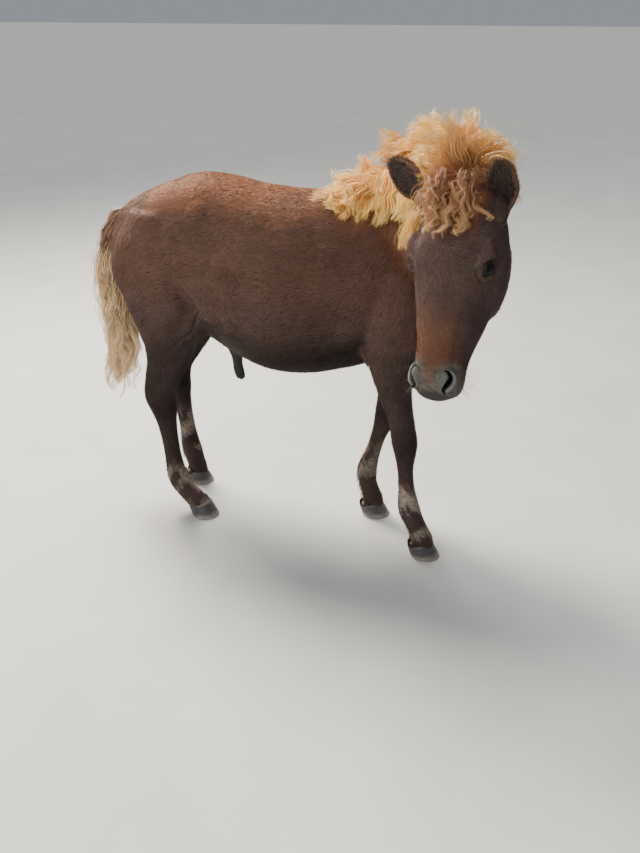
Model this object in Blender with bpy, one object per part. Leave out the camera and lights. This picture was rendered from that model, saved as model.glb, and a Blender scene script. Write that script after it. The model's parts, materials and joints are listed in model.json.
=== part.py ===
"""A Shetland pony colt of about one year, life size, standing with its head turned back to its right.

Metres. +X is the way the trunk faces, +Y is the pony's left, +Z is up, and the floor is Z = 0.
The flesh is modelled whole from lofts, smoothed as one skin and then parted with thin cuts.
Hooves, eyes, ears, sheath and tail are pieces of their own. Mane, forelock and tail are flat, tapered locks.
"""

import math

import bmesh
import bpy
import numpy as np
from mathutils import Matrix, Vector

# Driving sizes: points round the trunk and the legs, the thin gap between pieces, the grain of the
# smoothed flesh, and the triangles of the whole skin at the body's and at the head's fineness
TRUNK_SIDES = 40
LEG_SIDES = 20
GAP = 0.0003
VOXEL = 0.005
BODY_FACES = 4000
HEAD_FACES = 7200

# Where each hoof stands: middle of the sole, and the way the toe points in degrees from +X
HOOVES = {
    "fore_right": (0.388, -0.078, -4.0),
    "fore_left": (0.212, 0.076, 3.0),
    "hind_right": (-0.246, -0.084, -6.0),
    "hind_left": (-0.342, 0.083, 6.0),
}

# Head pose: the crown between the ears, the way the face looks, how far the nose is swung forward
# and how far it is swung to the pony's left
CROWN = Vector((0.440, -0.314, 0.985))
FACE_YAW = math.radians(-109.0)
FACE_TILT = math.radians(16.0)
FACE_ROLL = math.radians(3.5)

# Eyes, in head axes: down the face, out of the face, to the pony's left
EYE_RADIUS = 0.0185
EYE_DOWN, EYE_OUT, EYE_ASIDE = 0.130, -0.028, 0.0700

# Ears, right and left: how far each leans to the pony's left, and where it is rooted in head axes
EAR_LEAN = {-1: -1.05, 1: -0.22}
EAR_DOWN = {-1: 0.008, 1: 0.024}
EAR_OUT = {-1: -0.024, 1: -0.050}
EAR_ASIDE = {-1: -0.086, 1: 0.079}
EAR_BERTH, EAR_LENGTH = 0.040, 0.085

# Mane: how high it stands along the crest, and its rows of locks: angle from upright, length, share of
# that height added to the length, fall at the tip, and locks in the row
MANE_HEIGHT = [
    (0.0, 0.040), (0.12, 0.064), (0.25, 0.092), (0.4, 0.106), (0.6, 0.109), (0.8, 0.110), (1.0, 0.104),
]
MANE_ROWS = [
    (-108, 0.070, 0.78, 1.5, 10),
    (104, 0.060, 0.72, 1.5, 8),
    (-68, 0.034, 0.80, 0.9, 9),
    (66, 0.034, 0.76, 0.9, 7),
    (-30, 0.026, 0.76, 0.35, 8),
    (30, 0.026, 0.76, 0.35, 7),
    (0, 0.026, 0.70, 0.0, 8),
]
MANE_START, MANE_END = -0.02, 0.98
# how much sooner the rows end that fall to the left, and how much shorter their locks are by the ear
MANE_LEFT_GAP, MANE_LEFT_TRIM = 0.22, 0.50
# how much shorter the hanging locks are at the withers
MANE_LOW_TRIM = 0.55
MANE_CORE = 0.48
MANE_SEED, FORELOCK_SEED, TAIL_SEED = 21, 12, 13
# Forelock: down the face, reach to each side, length, lift at the root
FORELOCK_ROWS = [(-0.004, 0.038, 0.150, 1.9), (0.012, 0.031, 0.125, 1.2), (0.026, 0.024, 0.100, 0.6)]
FORELOCK_ACROSS = 5
LOCK_STEPS = 5
LOCK_WIDTH, LOCK_THICK = 0.046, 0.016
FORELOCK_WIDTH, FORELOCK_THICK = 0.024, 0.009

# Tail: heights down it, with the X of its middle, its half length and half width there
TAIL_LINE = [
    (0.800, -0.480, 0.014, 0.014),
    (0.760, -0.500, 0.026, 0.030),
    (0.690, -0.514, 0.036, 0.040),
    (0.580, -0.508, 0.038, 0.044),
    (0.450, -0.492, 0.046, 0.046),
    (0.350, -0.518, 0.050, 0.040),
    (0.260, -0.545, 0.030, 0.022),
]
TAIL_LOCKS, TAIL_STEPS = 20, 6
TAIL_TIP_LOW, TAIL_TIP_SPREAD, TAIL_WAVE = 0.262, 0.26, 0.006
TAIL_LOCK_WIDTH, TAIL_LOCK_THICK = 0.042, 0.017


def clear_scene():
    for obj in list(bpy.data.objects):
        bpy.data.objects.remove(obj, do_unlink=True)


def material(name, colour, roughness, metallic=0.0):
    made = bpy.data.materials.new(name)
    made.use_nodes = True
    shader = made.node_tree.nodes["Principled BSDF"]
    shader.inputs["Base Color"].default_value = (*colour, 1.0)
    shader.inputs["Roughness"].default_value = roughness
    shader.inputs["Metallic"].default_value = metallic
    return made


def unit(vector):
    return vector / max(np.linalg.norm(vector), 1e-12)


def smooth_rows(rows, count):
    """Rows of numbers read as a Catmull-Rom curve, sampled evenly in row number."""
    rows = np.array(rows, float)
    padded = np.vstack([2 * rows[0] - rows[1], rows, 2 * rows[-1] - rows[-2]])
    places = np.linspace(0, len(rows) - 1, count)
    first = np.minimum(places.astype(int), len(rows) - 2)
    t = (places - first)[:, None]
    p0, p1, p2, p3 = (padded[first + k] for k in range(4))
    return 0.5 * (
        2 * p1
        + (p2 - p0) * t
        + (2 * p0 - 5 * p1 + 4 * p2 - p3) * t**2
        + (3 * p1 - p0 - 3 * p2 + p3) * t**3
    )


def oval(centre, aside, above, half_width, rise, drop, sides, square=2.2):
    """A closed ring about centre: half_width to each side, rise above it and drop below it."""
    turn = np.linspace(0, 2 * math.pi, sides, endpoint=False)
    c, s = np.cos(turn), np.sin(turn)
    power = 2.0 / square
    x = half_width * np.sign(c) * np.abs(c) ** power
    y = np.where(s > 0, rise, drop) * np.sign(s) * np.abs(s) ** power
    return np.array(centre) + np.outer(x, aside) + np.outer(y, above)


def mesh_object(name, points, faces):
    mesh = bpy.data.meshes.new(name)
    mesh.from_pydata([tuple(p) for p in points], [], faces)
    mesh.update()
    obj = bpy.data.objects.new(name, mesh)
    bpy.context.scene.collection.objects.link(obj)
    return obj


def loft(name, rings, tip=False):
    """A closed body through rings of as many points each. With tip, the last ring is one point."""
    sides = len(rings[0])
    points = np.vstack(rings if not tip else [*rings[:-1], rings[-1][:1]])
    faces = []
    last = len(rings) - (2 if tip else 1)
    for i in range(last):
        for j in range(sides):
            k = (j + 1) % sides
            faces.append((i * sides + j, i * sides + k, (i + 1) * sides + k, (i + 1) * sides + j))
    top = last * sides
    if tip:
        faces += [(top + j, top + (j + 1) % sides, top + sides) for j in range(sides)]
    else:
        faces.append(tuple(top + j for j in range(sides)))
    faces.append(tuple(reversed(range(sides))))
    obj = mesh_object(name, points, faces)
    face_out(obj)
    return obj


def face_out(obj):
    shape = bmesh.new()
    shape.from_mesh(obj.data)
    bmesh.ops.triangulate(shape, faces=[f for f in shape.faces if len(f.verts) > 4])
    bmesh.ops.recalc_face_normals(shape, faces=shape.faces)
    shape.to_mesh(obj.data)
    shape.free()


def ball(name, centre, radii, axes=None, rings=10, sides=16):
    """An ellipsoid with its radii along three axes."""
    shape = bmesh.new()
    bmesh.ops.create_uvsphere(shape, u_segments=sides, v_segments=rings, radius=1.0)
    turn = Matrix(axes).transposed() if axes is not None else Matrix.Identity(3)
    stretch = Matrix.Diagonal(Vector(radii))
    for v in shape.verts:
        v.co = Vector(centre) + turn @ (stretch @ v.co)
    mesh = bpy.data.meshes.new(name)
    shape.to_mesh(mesh)
    shape.free()
    obj = bpy.data.objects.new(name, mesh)
    bpy.context.scene.collection.objects.link(obj)
    face_out(obj)
    return obj


def apply_modifier(obj, kind, **settings):
    """Adds a modifier and applies it at once."""
    modifier = obj.modifiers.new(kind.title(), kind)
    for name, value in settings.items():
        setattr(modifier, name, value)
    graph = bpy.context.evaluated_depsgraph_get()
    mesh = bpy.data.meshes.new_from_object(obj.evaluated_get(graph))
    old = obj.data
    obj.modifiers.clear()
    obj.data = mesh
    mesh.name = obj.name
    bpy.data.meshes.remove(old)
    return obj


def remove(obj):
    bpy.data.objects.remove(obj, do_unlink=True)


def cut(obj, cutter, solver="EXACT"):
    apply_modifier(obj, "BOOLEAN", operation="DIFFERENCE", solver=solver, object=cutter)
    remove(cutter)


def copy_of(obj, name):
    made = bpy.data.objects.new(name, obj.data.copy())
    bpy.context.scene.collection.objects.link(made)
    return made


def grown(obj, by):
    """A copy of a closed body, moved out by a distance all round."""
    made = copy_of(obj, obj.name + "_grown")
    return apply_modifier(made, "DISPLACE", strength=by, mid_level=0.0)


def fuse(obj, pieces, solver="EXACT"):
    """One union of the pieces with the body, which then keeps only its largest closed surface."""
    group = bpy.data.collections.new(obj.name + "_pieces")
    bpy.context.scene.collection.children.link(group)
    for piece in pieces:
        bpy.context.scene.collection.objects.unlink(piece)
        group.objects.link(piece)
    apply_modifier(
        obj, "BOOLEAN", operation="UNION", solver=solver, operand_type="COLLECTION", collection=group
    )
    for piece in pieces:
        remove(piece)
    bpy.data.collections.remove(group)
    keep_largest(obj)
    return obj


def islands(shape):
    """The connected sets of faces of a bmesh."""
    left, found = set(shape.faces), []
    while left:
        heap, part = [left.pop()], []
        while heap:
            face = heap.pop()
            part.append(face)
            for edge in face.edges:
                for other in edge.link_faces:
                    if other in left:
                        left.discard(other)
                        heap.append(other)
        found.append(part)
    return found


def keep_largest(obj):
    shape = bmesh.new()
    shape.from_mesh(obj.data)
    parts = sorted(islands(shape), key=lambda part: sum(f.calc_area() for f in part))
    loose = [f for part in parts[:-1] for f in part]
    bmesh.ops.delete(shape, geom=loose, context="FACES")
    bmesh.ops.delete(shape, geom=[v for v in shape.verts if not v.link_faces], context="VERTS")
    bmesh.ops.triangulate(shape, faces=shape.faces)
    shape.to_mesh(obj.data)
    shape.free()


def split_loose(obj, name):
    """Each connected piece of the mesh as an object of its own."""
    shape = bmesh.new()
    shape.from_mesh(obj.data)
    made = []
    for part in islands(shape):
        index = {v: i for i, v in enumerate({v for f in part for v in f.verts})}
        points = [v.co[:] for v in index]
        faces = [tuple(index[v] for v in f.verts) for f in part]
        made.append(mesh_object(f"{name}_{len(made)}", points, faces))
    shape.free()
    remove(obj)
    return made


# Trunk: X, top, bottom, half width, height of the widest place, squareness
TRUNK = [
    (-0.486, 0.765, 0.690, 0.030, 0.728, 2.0),
    (-0.470, 0.815, 0.640, 0.066, 0.728, 2.0),
    (-0.435, 0.852, 0.590, 0.098, 0.722, 2.1),
    (-0.375, 0.884, 0.560, 0.125, 0.722, 2.1),
    (-0.300, 0.916, 0.545, 0.142, 0.724, 2.1),
    (-0.225, 0.934, 0.528, 0.149, 0.716, 2.1),
    (-0.155, 0.931, 0.492, 0.152, 0.696, 2.15),
    (-0.080, 0.916, 0.462, 0.163, 0.674, 2.2),
    (0.000, 0.910, 0.451, 0.172, 0.664, 2.2),
    (0.080, 0.912, 0.459, 0.168, 0.668, 2.15),
    (0.150, 0.919, 0.478, 0.153, 0.676, 2.05),
    (0.210, 0.916, 0.500, 0.140, 0.682, 2.0),
    (0.270, 0.890, 0.522, 0.130, 0.690, 2.0),
    (0.330, 0.845, 0.545, 0.119, 0.694, 2.0),
    (0.380, 0.790, 0.575, 0.098, 0.690, 2.0),
    (0.412, 0.742, 0.612, 0.068, 0.680, 2.0),
    (0.426, 0.706, 0.642, 0.034, 0.674, 2.0),
]

# Neck: X, Y, Z of its middle, half width, reach to the crest, reach to the throat
NECK = [
    (0.205, 0.000, 0.745, 0.098, 0.158, 0.185),
    (0.270, -0.003, 0.783, 0.094, 0.154, 0.178),
    (0.335, -0.022, 0.826, 0.084, 0.146, 0.158),
    (0.395, -0.068, 0.862, 0.073, 0.134, 0.128),
    (0.436, -0.132, 0.888, 0.064, 0.116, 0.108),
    (0.452, -0.200, 0.903, 0.058, 0.100, 0.090),
    (0.450, -0.256, 0.905, 0.055, 0.086, 0.080),
    (0.446, -0.300, 0.901, 0.050, 0.074, 0.070),
]

# Head, in head axes: down the face, top of the section, bottom, half width, widest place, squareness
HEAD = [
    (-0.026, -0.034, -0.092, 0.032, -0.062, 2.0),
    (-0.012, -0.014, -0.112, 0.058, -0.062, 2.0),
    (0.030, 0.004, -0.136, 0.076, -0.064, 2.1),
    (0.070, 0.014, -0.160, 0.085, -0.060, 2.2),
    (0.112, 0.017, -0.174, 0.089, -0.052, 2.3),
    (0.152, 0.012, -0.180, 0.082, -0.056, 2.3),
    (0.192, 0.004, -0.175, 0.075, -0.060, 2.2),
    (0.232, -0.002, -0.160, 0.067, -0.060, 2.2),
    (0.266, -0.005, -0.138, 0.060, -0.056, 2.2),
    (0.299, -0.006, -0.118, 0.054, -0.052, 2.2),
    (0.328, -0.006, -0.102, 0.050, -0.048, 2.3),
    (0.354, -0.009, -0.097, 0.052, -0.048, 2.4),
    (0.376, -0.018, -0.088, 0.045, -0.050, 2.4),
    (0.389, -0.032, -0.074, 0.028, -0.052, 2.2),
]

# Legs: X, Y, Z of the middle, half length to the front, to the back, half width
LEG_LEVEL_ABOVE = 0.52
LEGS = {
    "fore_right": [
        (0.285, -0.070, 0.770, 0.060, 0.085, 0.052),
        (0.300, -0.088, 0.690, 0.080, 0.088, 0.056),
        (0.292, -0.098, 0.610, 0.078, 0.075, 0.054),
        (0.285, -0.096, 0.540, 0.058, 0.060, 0.047),
        (0.292, -0.090, 0.480, 0.045, 0.048, 0.040),
        (0.304, -0.085, 0.420, 0.036, 0.040, 0.033),
        (0.314, -0.082, 0.370, 0.034, 0.034, 0.031),
        (0.320, -0.080, 0.325, 0.036, 0.033, 0.033),
        (0.324, -0.079, 0.290, 0.030, 0.028, 0.028),
        (0.328, -0.078, 0.250, 0.021, 0.024, 0.020),
        (0.333, -0.078, 0.200, 0.020, 0.024, 0.019),
        (0.339, -0.078, 0.160, 0.024, 0.029, 0.023),
        (0.345, -0.078, 0.130, 0.027, 0.031, 0.026),
        (0.358, -0.078, 0.100, 0.024, 0.028, 0.024),
        (0.372, -0.078, 0.072, 0.024, 0.027, 0.025),
        (0.382, -0.078, 0.045, 0.028, 0.029, 0.028),
        (0.386, -0.078, 0.020, 0.026, 0.026, 0.026),
    ],
    "fore_left": [
        (0.285, 0.070, 0.770, 0.060, 0.085, 0.052),
        (0.300, 0.088, 0.690, 0.080, 0.088, 0.056),
        (0.285, 0.098, 0.610, 0.076, 0.074, 0.054),
        (0.268, 0.095, 0.540, 0.058, 0.060, 0.047),
        (0.258, 0.090, 0.480, 0.045, 0.048, 0.040),
        (0.248, 0.085, 0.420, 0.036, 0.040, 0.033),
        (0.240, 0.082, 0.370, 0.034, 0.034, 0.031),
        (0.234, 0.080, 0.325, 0.036, 0.033, 0.033),
        (0.226, 0.079, 0.290, 0.030, 0.028, 0.028),
        (0.216, 0.077, 0.250, 0.021, 0.024, 0.020),
        (0.203, 0.076, 0.200, 0.020, 0.024, 0.019),
        (0.192, 0.076, 0.160, 0.024, 0.029, 0.023),
        (0.187, 0.076, 0.132, 0.027, 0.031, 0.026),
        (0.190, 0.076, 0.102, 0.024, 0.028, 0.024),
        (0.198, 0.076, 0.074, 0.024, 0.027, 0.025),
        (0.206, 0.076, 0.046, 0.028, 0.029, 0.028),
        (0.210, 0.076, 0.020, 0.026, 0.026, 0.026),
    ],
    "hind_right": [
        (-0.300, -0.070, 0.850, 0.085, 0.090, 0.045),
        (-0.312, -0.088, 0.770, 0.115, 0.125, 0.062),
        (-0.315, -0.096, 0.690, 0.122, 0.132, 0.062),
        (-0.308, -0.100, 0.620, 0.112, 0.112, 0.057),
        (-0.302, -0.098, 0.555, 0.090, 0.090, 0.051),
        (-0.308, -0.094, 0.495, 0.066, 0.072, 0.043),
        (-0.324, -0.090, 0.440, 0.050, 0.060, 0.035),
        (-0.340, -0.088, 0.390, 0.040, 0.056, 0.030),
        (-0.347, -0.087, 0.350, 0.040, 0.054, 0.030),
        (-0.343, -0.086, 0.310, 0.036, 0.040, 0.029),
        (-0.340, -0.085, 0.270, 0.028, 0.030, 0.024),
        (-0.335, -0.084, 0.220, 0.024, 0.026, 0.021),
        (-0.329, -0.084, 0.165, 0.023, 0.027, 0.021),
        (-0.323, -0.084, 0.122, 0.027, 0.031, 0.025),
        (-0.314, -0.084, 0.095, 0.029, 0.031, 0.027),
        (-0.294, -0.084, 0.068, 0.027, 0.029, 0.026),
        (-0.272, -0.084, 0.046, 0.027, 0.028, 0.028),
        (-0.256, -0.084, 0.024, 0.026, 0.026, 0.026),
    ],
    "hind_left": [
        (-0.300, 0.070, 0.850, 0.085, 0.090, 0.045),
        (-0.312, 0.088, 0.770, 0.115, 0.125, 0.062),
        (-0.318, 0.096, 0.690, 0.122, 0.130, 0.062),
        (-0.316, 0.100, 0.620, 0.110, 0.110, 0.057),
        (-0.322, 0.098, 0.555, 0.088, 0.088, 0.051),
        (-0.338, 0.094, 0.495, 0.066, 0.070, 0.043),
        (-0.358, 0.090, 0.440, 0.050, 0.058, 0.035),
        (-0.380, 0.088, 0.390, 0.040, 0.054, 0.030),
        (-0.390, 0.087, 0.350, 0.040, 0.052, 0.030),
        (-0.387, 0.086, 0.310, 0.036, 0.040, 0.029),
        (-0.382, 0.085, 0.270, 0.028, 0.030, 0.024),
        (-0.376, 0.084, 0.220, 0.024, 0.026, 0.021),
        (-0.368, 0.083, 0.165, 0.023, 0.027, 0.021),
        (-0.363, 0.083, 0.125, 0.027, 0.031, 0.025),
        (-0.359, 0.083, 0.098, 0.029, 0.031, 0.027),
        (-0.352, 0.083, 0.070, 0.027, 0.029, 0.026),
        (-0.346, 0.083, 0.046, 0.027, 0.028, 0.028),
        (-0.343, 0.083, 0.024, 0.026, 0.026, 0.026),
    ],
}


def head_axes():
    """Crown, and the directions down the face, out of the face and to the pony's left."""
    looks = np.array([math.cos(FACE_YAW), math.sin(FACE_YAW), 0.0])
    up = np.array([0.0, 0.0, 1.0])
    down_face = -math.cos(FACE_TILT) * up + math.sin(FACE_TILT) * looks
    out_face = math.cos(FACE_TILT) * looks + math.sin(FACE_TILT) * up
    to_left = np.cross(-down_face, out_face)
    down_leaning = math.cos(FACE_ROLL) * down_face + math.sin(FACE_ROLL) * to_left
    return np.array(CROWN), down_leaning, out_face, np.cross(-down_leaning, out_face)


def head_point(down, out, aside):
    crown, a, n, s = head_axes()
    return crown + a * down + n * out + s * aside


def trunk_frames(count):
    """The trunk's sections: middle, side, up, half width, rise and drop."""
    aside, above = np.array([0, 1, 0]), np.array([0, 0, 1])
    return [
        (np.array([x, 0, middle]), aside, above, wide, top - middle, middle - bottom)
        for x, top, bottom, wide, middle, _ in smooth_rows(TRUNK, count)
    ]


def trunk():
    rings = []
    for x, top, bottom, wide, middle, square in smooth_rows(TRUNK, 44):
        rings.append(
            oval((x, 0, middle), (0, 1, 0), (0, 0, 1), wide, top - middle, middle - bottom,
                 TRUNK_SIDES, square)
        )
    return loft("trunk", rings)


def neck_frames(count=26):
    """Middle, side, up, half width, rise and drop along the neck."""
    rows = smooth_rows(NECK, count)
    along = np.gradient(rows[:, :3], axis=0)
    frames = []
    for row, way in zip(rows, along):
        way = unit(way)
        aside = unit(np.cross([0, 0, 1], way))
        above = np.cross(way, aside)
        frames.append((row[:3], aside, above, *row[3:]))
    return frames


def neck():
    rings = [
        oval(middle, aside, above, wide, rise, drop, 32, 2.0)
        for middle, aside, above, wide, rise, drop in neck_frames()
    ]
    return loft("neck", rings)


def head():
    _, _, n, s = head_axes()
    rings = []
    for down, top, bottom, wide, middle, square in smooth_rows(HEAD, 40):
        rings.append(
            oval(head_point(down, middle, 0), s, n, wide, top - middle, middle - bottom, 36, square)
        )
    return loft("head", rings)


def head_frames(count):
    """The head's sections, in the same form as the neck's."""
    _, _, n, s = head_axes()
    return [
        (head_point(down, middle, 0), s, n, wide, top - middle, middle - bottom)
        for down, top, bottom, wide, middle, _ in smooth_rows(HEAD, count)
    ]


def head_masses():
    """Brows, cheeks, cheekbones, nostrils, lips and chin that the smoothing blends into the head."""
    _, a, n, s = head_axes()
    axes = (a, n, s)
    masses = []
    for side in (-1, 1):
        masses += [
            ball("brow", head_point(0.108, -0.020, 0.070 * side), (0.036, 0.019, 0.024), axes),
            ball("cheek", head_point(0.140, -0.116, 0.046 * side), (0.094, 0.064, 0.030), axes),
            ball("cheekbone", head_point(0.180, -0.056, 0.058 * side), (0.062, 0.013, 0.014), axes),
            ball("nostril", head_point(0.350, -0.034, 0.034 * side), (0.030, 0.025, 0.021), axes),
            ball("ear_root", head_point(0.016, EAR_OUT[side], 0.066 * side), (0.030, 0.026, 0.022), axes),
        ]
    masses.append(ball("upper_lip", head_point(0.375, -0.044, 0), (0.022, 0.030, 0.040), axes))
    masses.append(ball("chin", head_point(0.354, -0.092, 0), (0.032, 0.018, 0.029), axes))
    return masses


def leg(name):
    """A leg from inside the trunk down to inside its hoof, its sections level above the forearm."""
    rows = smooth_rows(LEGS[name], 54)
    along = np.gradient(rows[:, :3], axis=0)
    rings = []
    for row, way in zip(rows, along):
        front, back, wide = row[3:]
        way = unit(way) if row[2] < LEG_LEVEL_ABOVE else np.array([0, 0, -1.0])
        ahead = unit(np.cross(way, [0, 1, 0]))
        aside = np.cross(way, ahead)
        turn = np.linspace(0, 2 * math.pi, LEG_SIDES, endpoint=False)
        reach = np.where(np.cos(turn) > 0, front, back) * np.cos(turn)
        rings.append(row[:3] + np.outer(reach, ahead) + np.outer(wide * np.sin(turn), aside))
    return loft(name, rings)


def haunch_masses():
    """Stifles, points of the hips, shoulders and breast that the smoothing blends in."""
    masses = []
    for side in (-1, 1):
        masses += [
            ball("stifle", (-0.236, 0.096 * side, 0.590), (0.052, 0.044, 0.064)),
            ball("hip", (-0.190, 0.078 * side, 0.836), (0.070, 0.048, 0.056)),
            ball("shoulder", (0.345, 0.076 * side, 0.690), (0.064, 0.046, 0.085)),
            ball("elbow", (0.236, 0.092 * side, 0.560), (0.032, 0.030, 0.038)),
        ]
    return masses


def even_out(obj, passes):
    """Smooths a mesh without shrinking it: each pass pulls the points in and pushes them back."""
    count = len(obj.data.vertices)
    points = np.empty(count * 3)
    obj.data.vertices.foreach_get("co", points)
    points = points.reshape(-1, 3)
    edges = np.empty(len(obj.data.edges) * 2, int)
    obj.data.edges.foreach_get("vertices", edges)
    one, two = edges.reshape(-1, 2).T
    shares = np.bincount(one, minlength=count) + np.bincount(two, minlength=count)
    for _ in range(passes):
        for pull in (0.60, -0.62):
            total = np.zeros_like(points)
            for k in range(3):
                total[:, k] = np.bincount(one, points[two, k], count)
                total[:, k] += np.bincount(two, points[one, k], count)
            points = points + pull * (total / shares[:, None] - points)
    obj.data.vertices.foreach_set("co", points.ravel())
    obj.data.update()


def join(objects, name):
    """Overlapping closed bodies in one mesh, ready for a voxel remesh."""
    points, faces, base = [], [], 0
    for obj in objects:
        points += [v.co[:] for v in obj.data.vertices]
        faces += [tuple(base + i for i in f.vertices) for f in obj.data.polygons]
        base += len(obj.data.vertices)
        remove(obj)
    return mesh_object(name, points, faces)


def whole_flesh():
    pieces = [trunk(), neck(), head(), *head_masses(), *haunch_masses(), *map(leg, LEGS)]
    flesh = join(pieces, "flesh")
    apply_modifier(flesh, "REMESH", mode="VOXEL", voxel_size=VOXEL, adaptivity=0.0)
    even_out(flesh, 14)
    return flesh


def thinned(obj, name, faces):
    """A copy with about so many triangles, kept finest where the form turns."""
    made = copy_of(obj, name)
    apply_modifier(made, "TRIANGULATE")
    share = faces / len(made.data.polygons)
    return apply_modifier(made, "DECIMATE", decimate_type="COLLAPSE", ratio=share)


def slab(centre, way, along, half_long, half_wide):
    """A cutter as thin as the gap, square to way."""
    way = unit(np.array(way, float))
    along = unit(np.array(along, float) - way * np.dot(along, way))
    across = np.cross(way, along)
    corners = []
    for w in (-GAP / 2, GAP / 2):
        for u, v in ((-1, -1), (1, -1), (1, 1), (-1, 1)):
            corners.append(np.array(centre) + way * w + along * u * half_long + across * v * half_wide)
    sides = [(0, 3, 2, 1), (4, 5, 6, 7), (0, 1, 5, 4), (1, 2, 6, 5), (2, 3, 7, 6), (3, 0, 4, 7)]
    obj = mesh_object("slab", corners, sides)
    face_out(obj)
    return obj


def head_cut():
    """The thin cut behind the jowls, between the neck and the head."""
    _, a, n, _ = head_axes()
    return slab(head_point(0.060, -0.1190, 0), 0.17 * n + 0.135 * a, a, 0.18, 0.14)


def neck_cut():
    return slab((0.285, -0.004, 0.775), (0.80, -0.03, 0.60), (0, 1, 0), 0.22, 0.26)


def leg_cuts():
    """Thin cuts across the forearms and gaskins."""
    return [
        slab((0.287, -0.097, 0.498), (0.1, 0, -1), (1, 0, 0), 0.088, 0.072),
        slab((0.262, 0.097, 0.498), (-0.15, 0, -1), (1, 0, 0), 0.088, 0.072),
        slab((-0.308, -0.098, 0.505), (-0.1, 0, -1), (1, 0, 0), 0.110, 0.082),
        slab((-0.335, 0.098, 0.505), (-0.15, 0, -1), (1, 0, 0), 0.110, 0.082),
    ]


def hoof(name):
    """A hoof on a flat sole, its wall leaning back from the toe up to a sloping coronet."""
    x, y, turn = HOOVES[name]
    turn = math.radians(turn)
    ahead = np.array([math.cos(turn), math.sin(turn), 0.0])
    aside = np.array([-math.sin(turn), math.cos(turn), 0.0])
    toe_slope, length, width, height = 0.50, 0.043, 0.036, 0.044
    rings = []
    for share in (0.0, 0.12, 0.55, 0.9, 1.0):
        angle = np.linspace(0, 2 * math.pi, 18, endpoint=False)
        c, s = np.cos(angle), np.sin(angle)
        z = share * height * (0.80 + 0.20 * c)
        lean = -toe_slope * z
        tighten = 1.0 - 0.10 * share - (0.06 if share in (0.0, 1.0) else 0.0)
        front = np.where(c > 0, length, length * 0.82) * c * tighten
        flank = width * s * tighten * np.where(c < 0, 1 + 0.06 * c, 1.0)
        rings.append(
            np.array([x, y, 0.0])
            + np.outer(front + lean, ahead)
            + np.outer(flank, aside)
            + np.outer(z, [0, 0, 1])
        )
    return loft("hoof_" + name, rings)


def ear_axes(side):
    """An ear's root, and the directions up it, out of its opening and across it."""
    _, a, n, s = head_axes()
    root = head_point(EAR_DOWN[side], EAR_OUT[side], EAR_ASIDE[side])
    rise = unit(-a + s * EAR_LEAN[side] - n * 0.02)
    opening = unit(n * 0.94 + s * 0.34 * side)
    opening = unit(opening - rise * np.dot(opening, rise))
    return root, rise, opening, np.cross(rise, opening)


def ear(name, side):
    """A leaf-shaped ear, cupped towards the front, its hollow open all the way up."""
    root, rise, opening, across = ear_axes(side)
    rows = smooth_rows(
        [  # up the ear, half width, depth of the back, depth of the cup, lean forward
            (-0.022, 0.0095, 0.0120, 0.000, 0.000),
            (0.000, 0.0165, 0.0175, 0.006, 0.000),
            (0.016, 0.0250, 0.0210, 0.015, 0.001),
            (0.034, 0.0315, 0.0200, 0.0155, 0.002),
            (0.052, 0.0300, 0.0160, 0.0120, 0.004),
            (0.069, 0.0248, 0.0108, 0.0072, 0.007),
            (0.081, 0.0150, 0.0066, 0.0036, 0.010),
            (0.087, 0.0048, 0.0030, 0.0009, 0.012),
        ],
        10,
    )
    rings = []
    for up, wide, back, cup, lean in rows:
        turn = np.linspace(0, math.pi, 8)
        outer = [(-wide * math.cos(t), -back * math.sin(t)) for t in turn]
        inner_wide = wide * 0.82
        turn = np.linspace(math.pi, 0, 6)
        inner = [(-inner_wide * math.cos(t), 0.003 - cup * math.sin(t)) for t in turn]
        ring = [root + rise * up + across * u + opening * (v + lean) for u, v in outer + inner]
        rings.append(np.array(ring))
    return loft(name, rings)


def eyeball(name, side):
    _, a, n, s = head_axes()
    centre = head_point(EYE_DOWN, EYE_OUT, EYE_ASIDE * side)
    return ball(name, centre, (EYE_RADIUS,) * 3, (a, n, s), 8, 14)


def eye_axes(side):
    """Where an eye looks, and the directions along its slit and across it."""
    _, a, n, s = head_axes()
    look = unit(s * side * 0.86 + n * 0.48 + a * 0.02)
    slit = unit(a * 0.90 - n * 0.35 + s * 0.2 * side)
    slit = unit(slit - look * np.dot(slit, look))
    return look, slit, np.cross(look, slit)


def add_lids(skin, side, eye):
    """A lid bulge over the eyeball, opened by an almond-shaped cut, with the eye's own pocket."""
    look, slit, across = eye_axes(side)
    centre = head_point(EYE_DOWN, EYE_OUT, EYE_ASIDE * side)
    lid = ball("lid", centre, (EYE_RADIUS + 0.0042, EYE_RADIUS + 0.0030, EYE_RADIUS + 0.0032),
               (slit, across, look), 10, 18)
    fuse(skin, [lid])
    almond = []
    for depth in (0.008, 0.030):
        ring = []
        for t in np.linspace(0, 2 * math.pi, 16, endpoint=False):
            u, v = math.cos(t), math.sin(t)
            ring.append(centre + look * depth + slit * 0.0150 * u
                        + across * 0.0088 * v * (1 - 0.45 * u * u))
        almond.append(np.array(ring))
    cut(skin, loft("almond", almond))
    cut(skin, grown(eye, GAP))


def cut_nostril(skin, side):
    """A comma-shaped opening that runs up and back into the nose."""
    _, a, n, s = head_axes()
    into = unit(-s * 0.62 * side - n * 0.74 - a * 0.28)
    tall = unit(a * 0.85 - n * 0.50 - s * 0.05 * side)
    tall = unit(tall - into * np.dot(tall, into))
    wide = np.cross(into, tall)
    centre = head_point(0.352, -0.024, 0.046 * side)
    cut(skin, ball("opening", centre, (0.0165, 0.0074, 0.022), (tall, wide, into), 8, 14))


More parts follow.
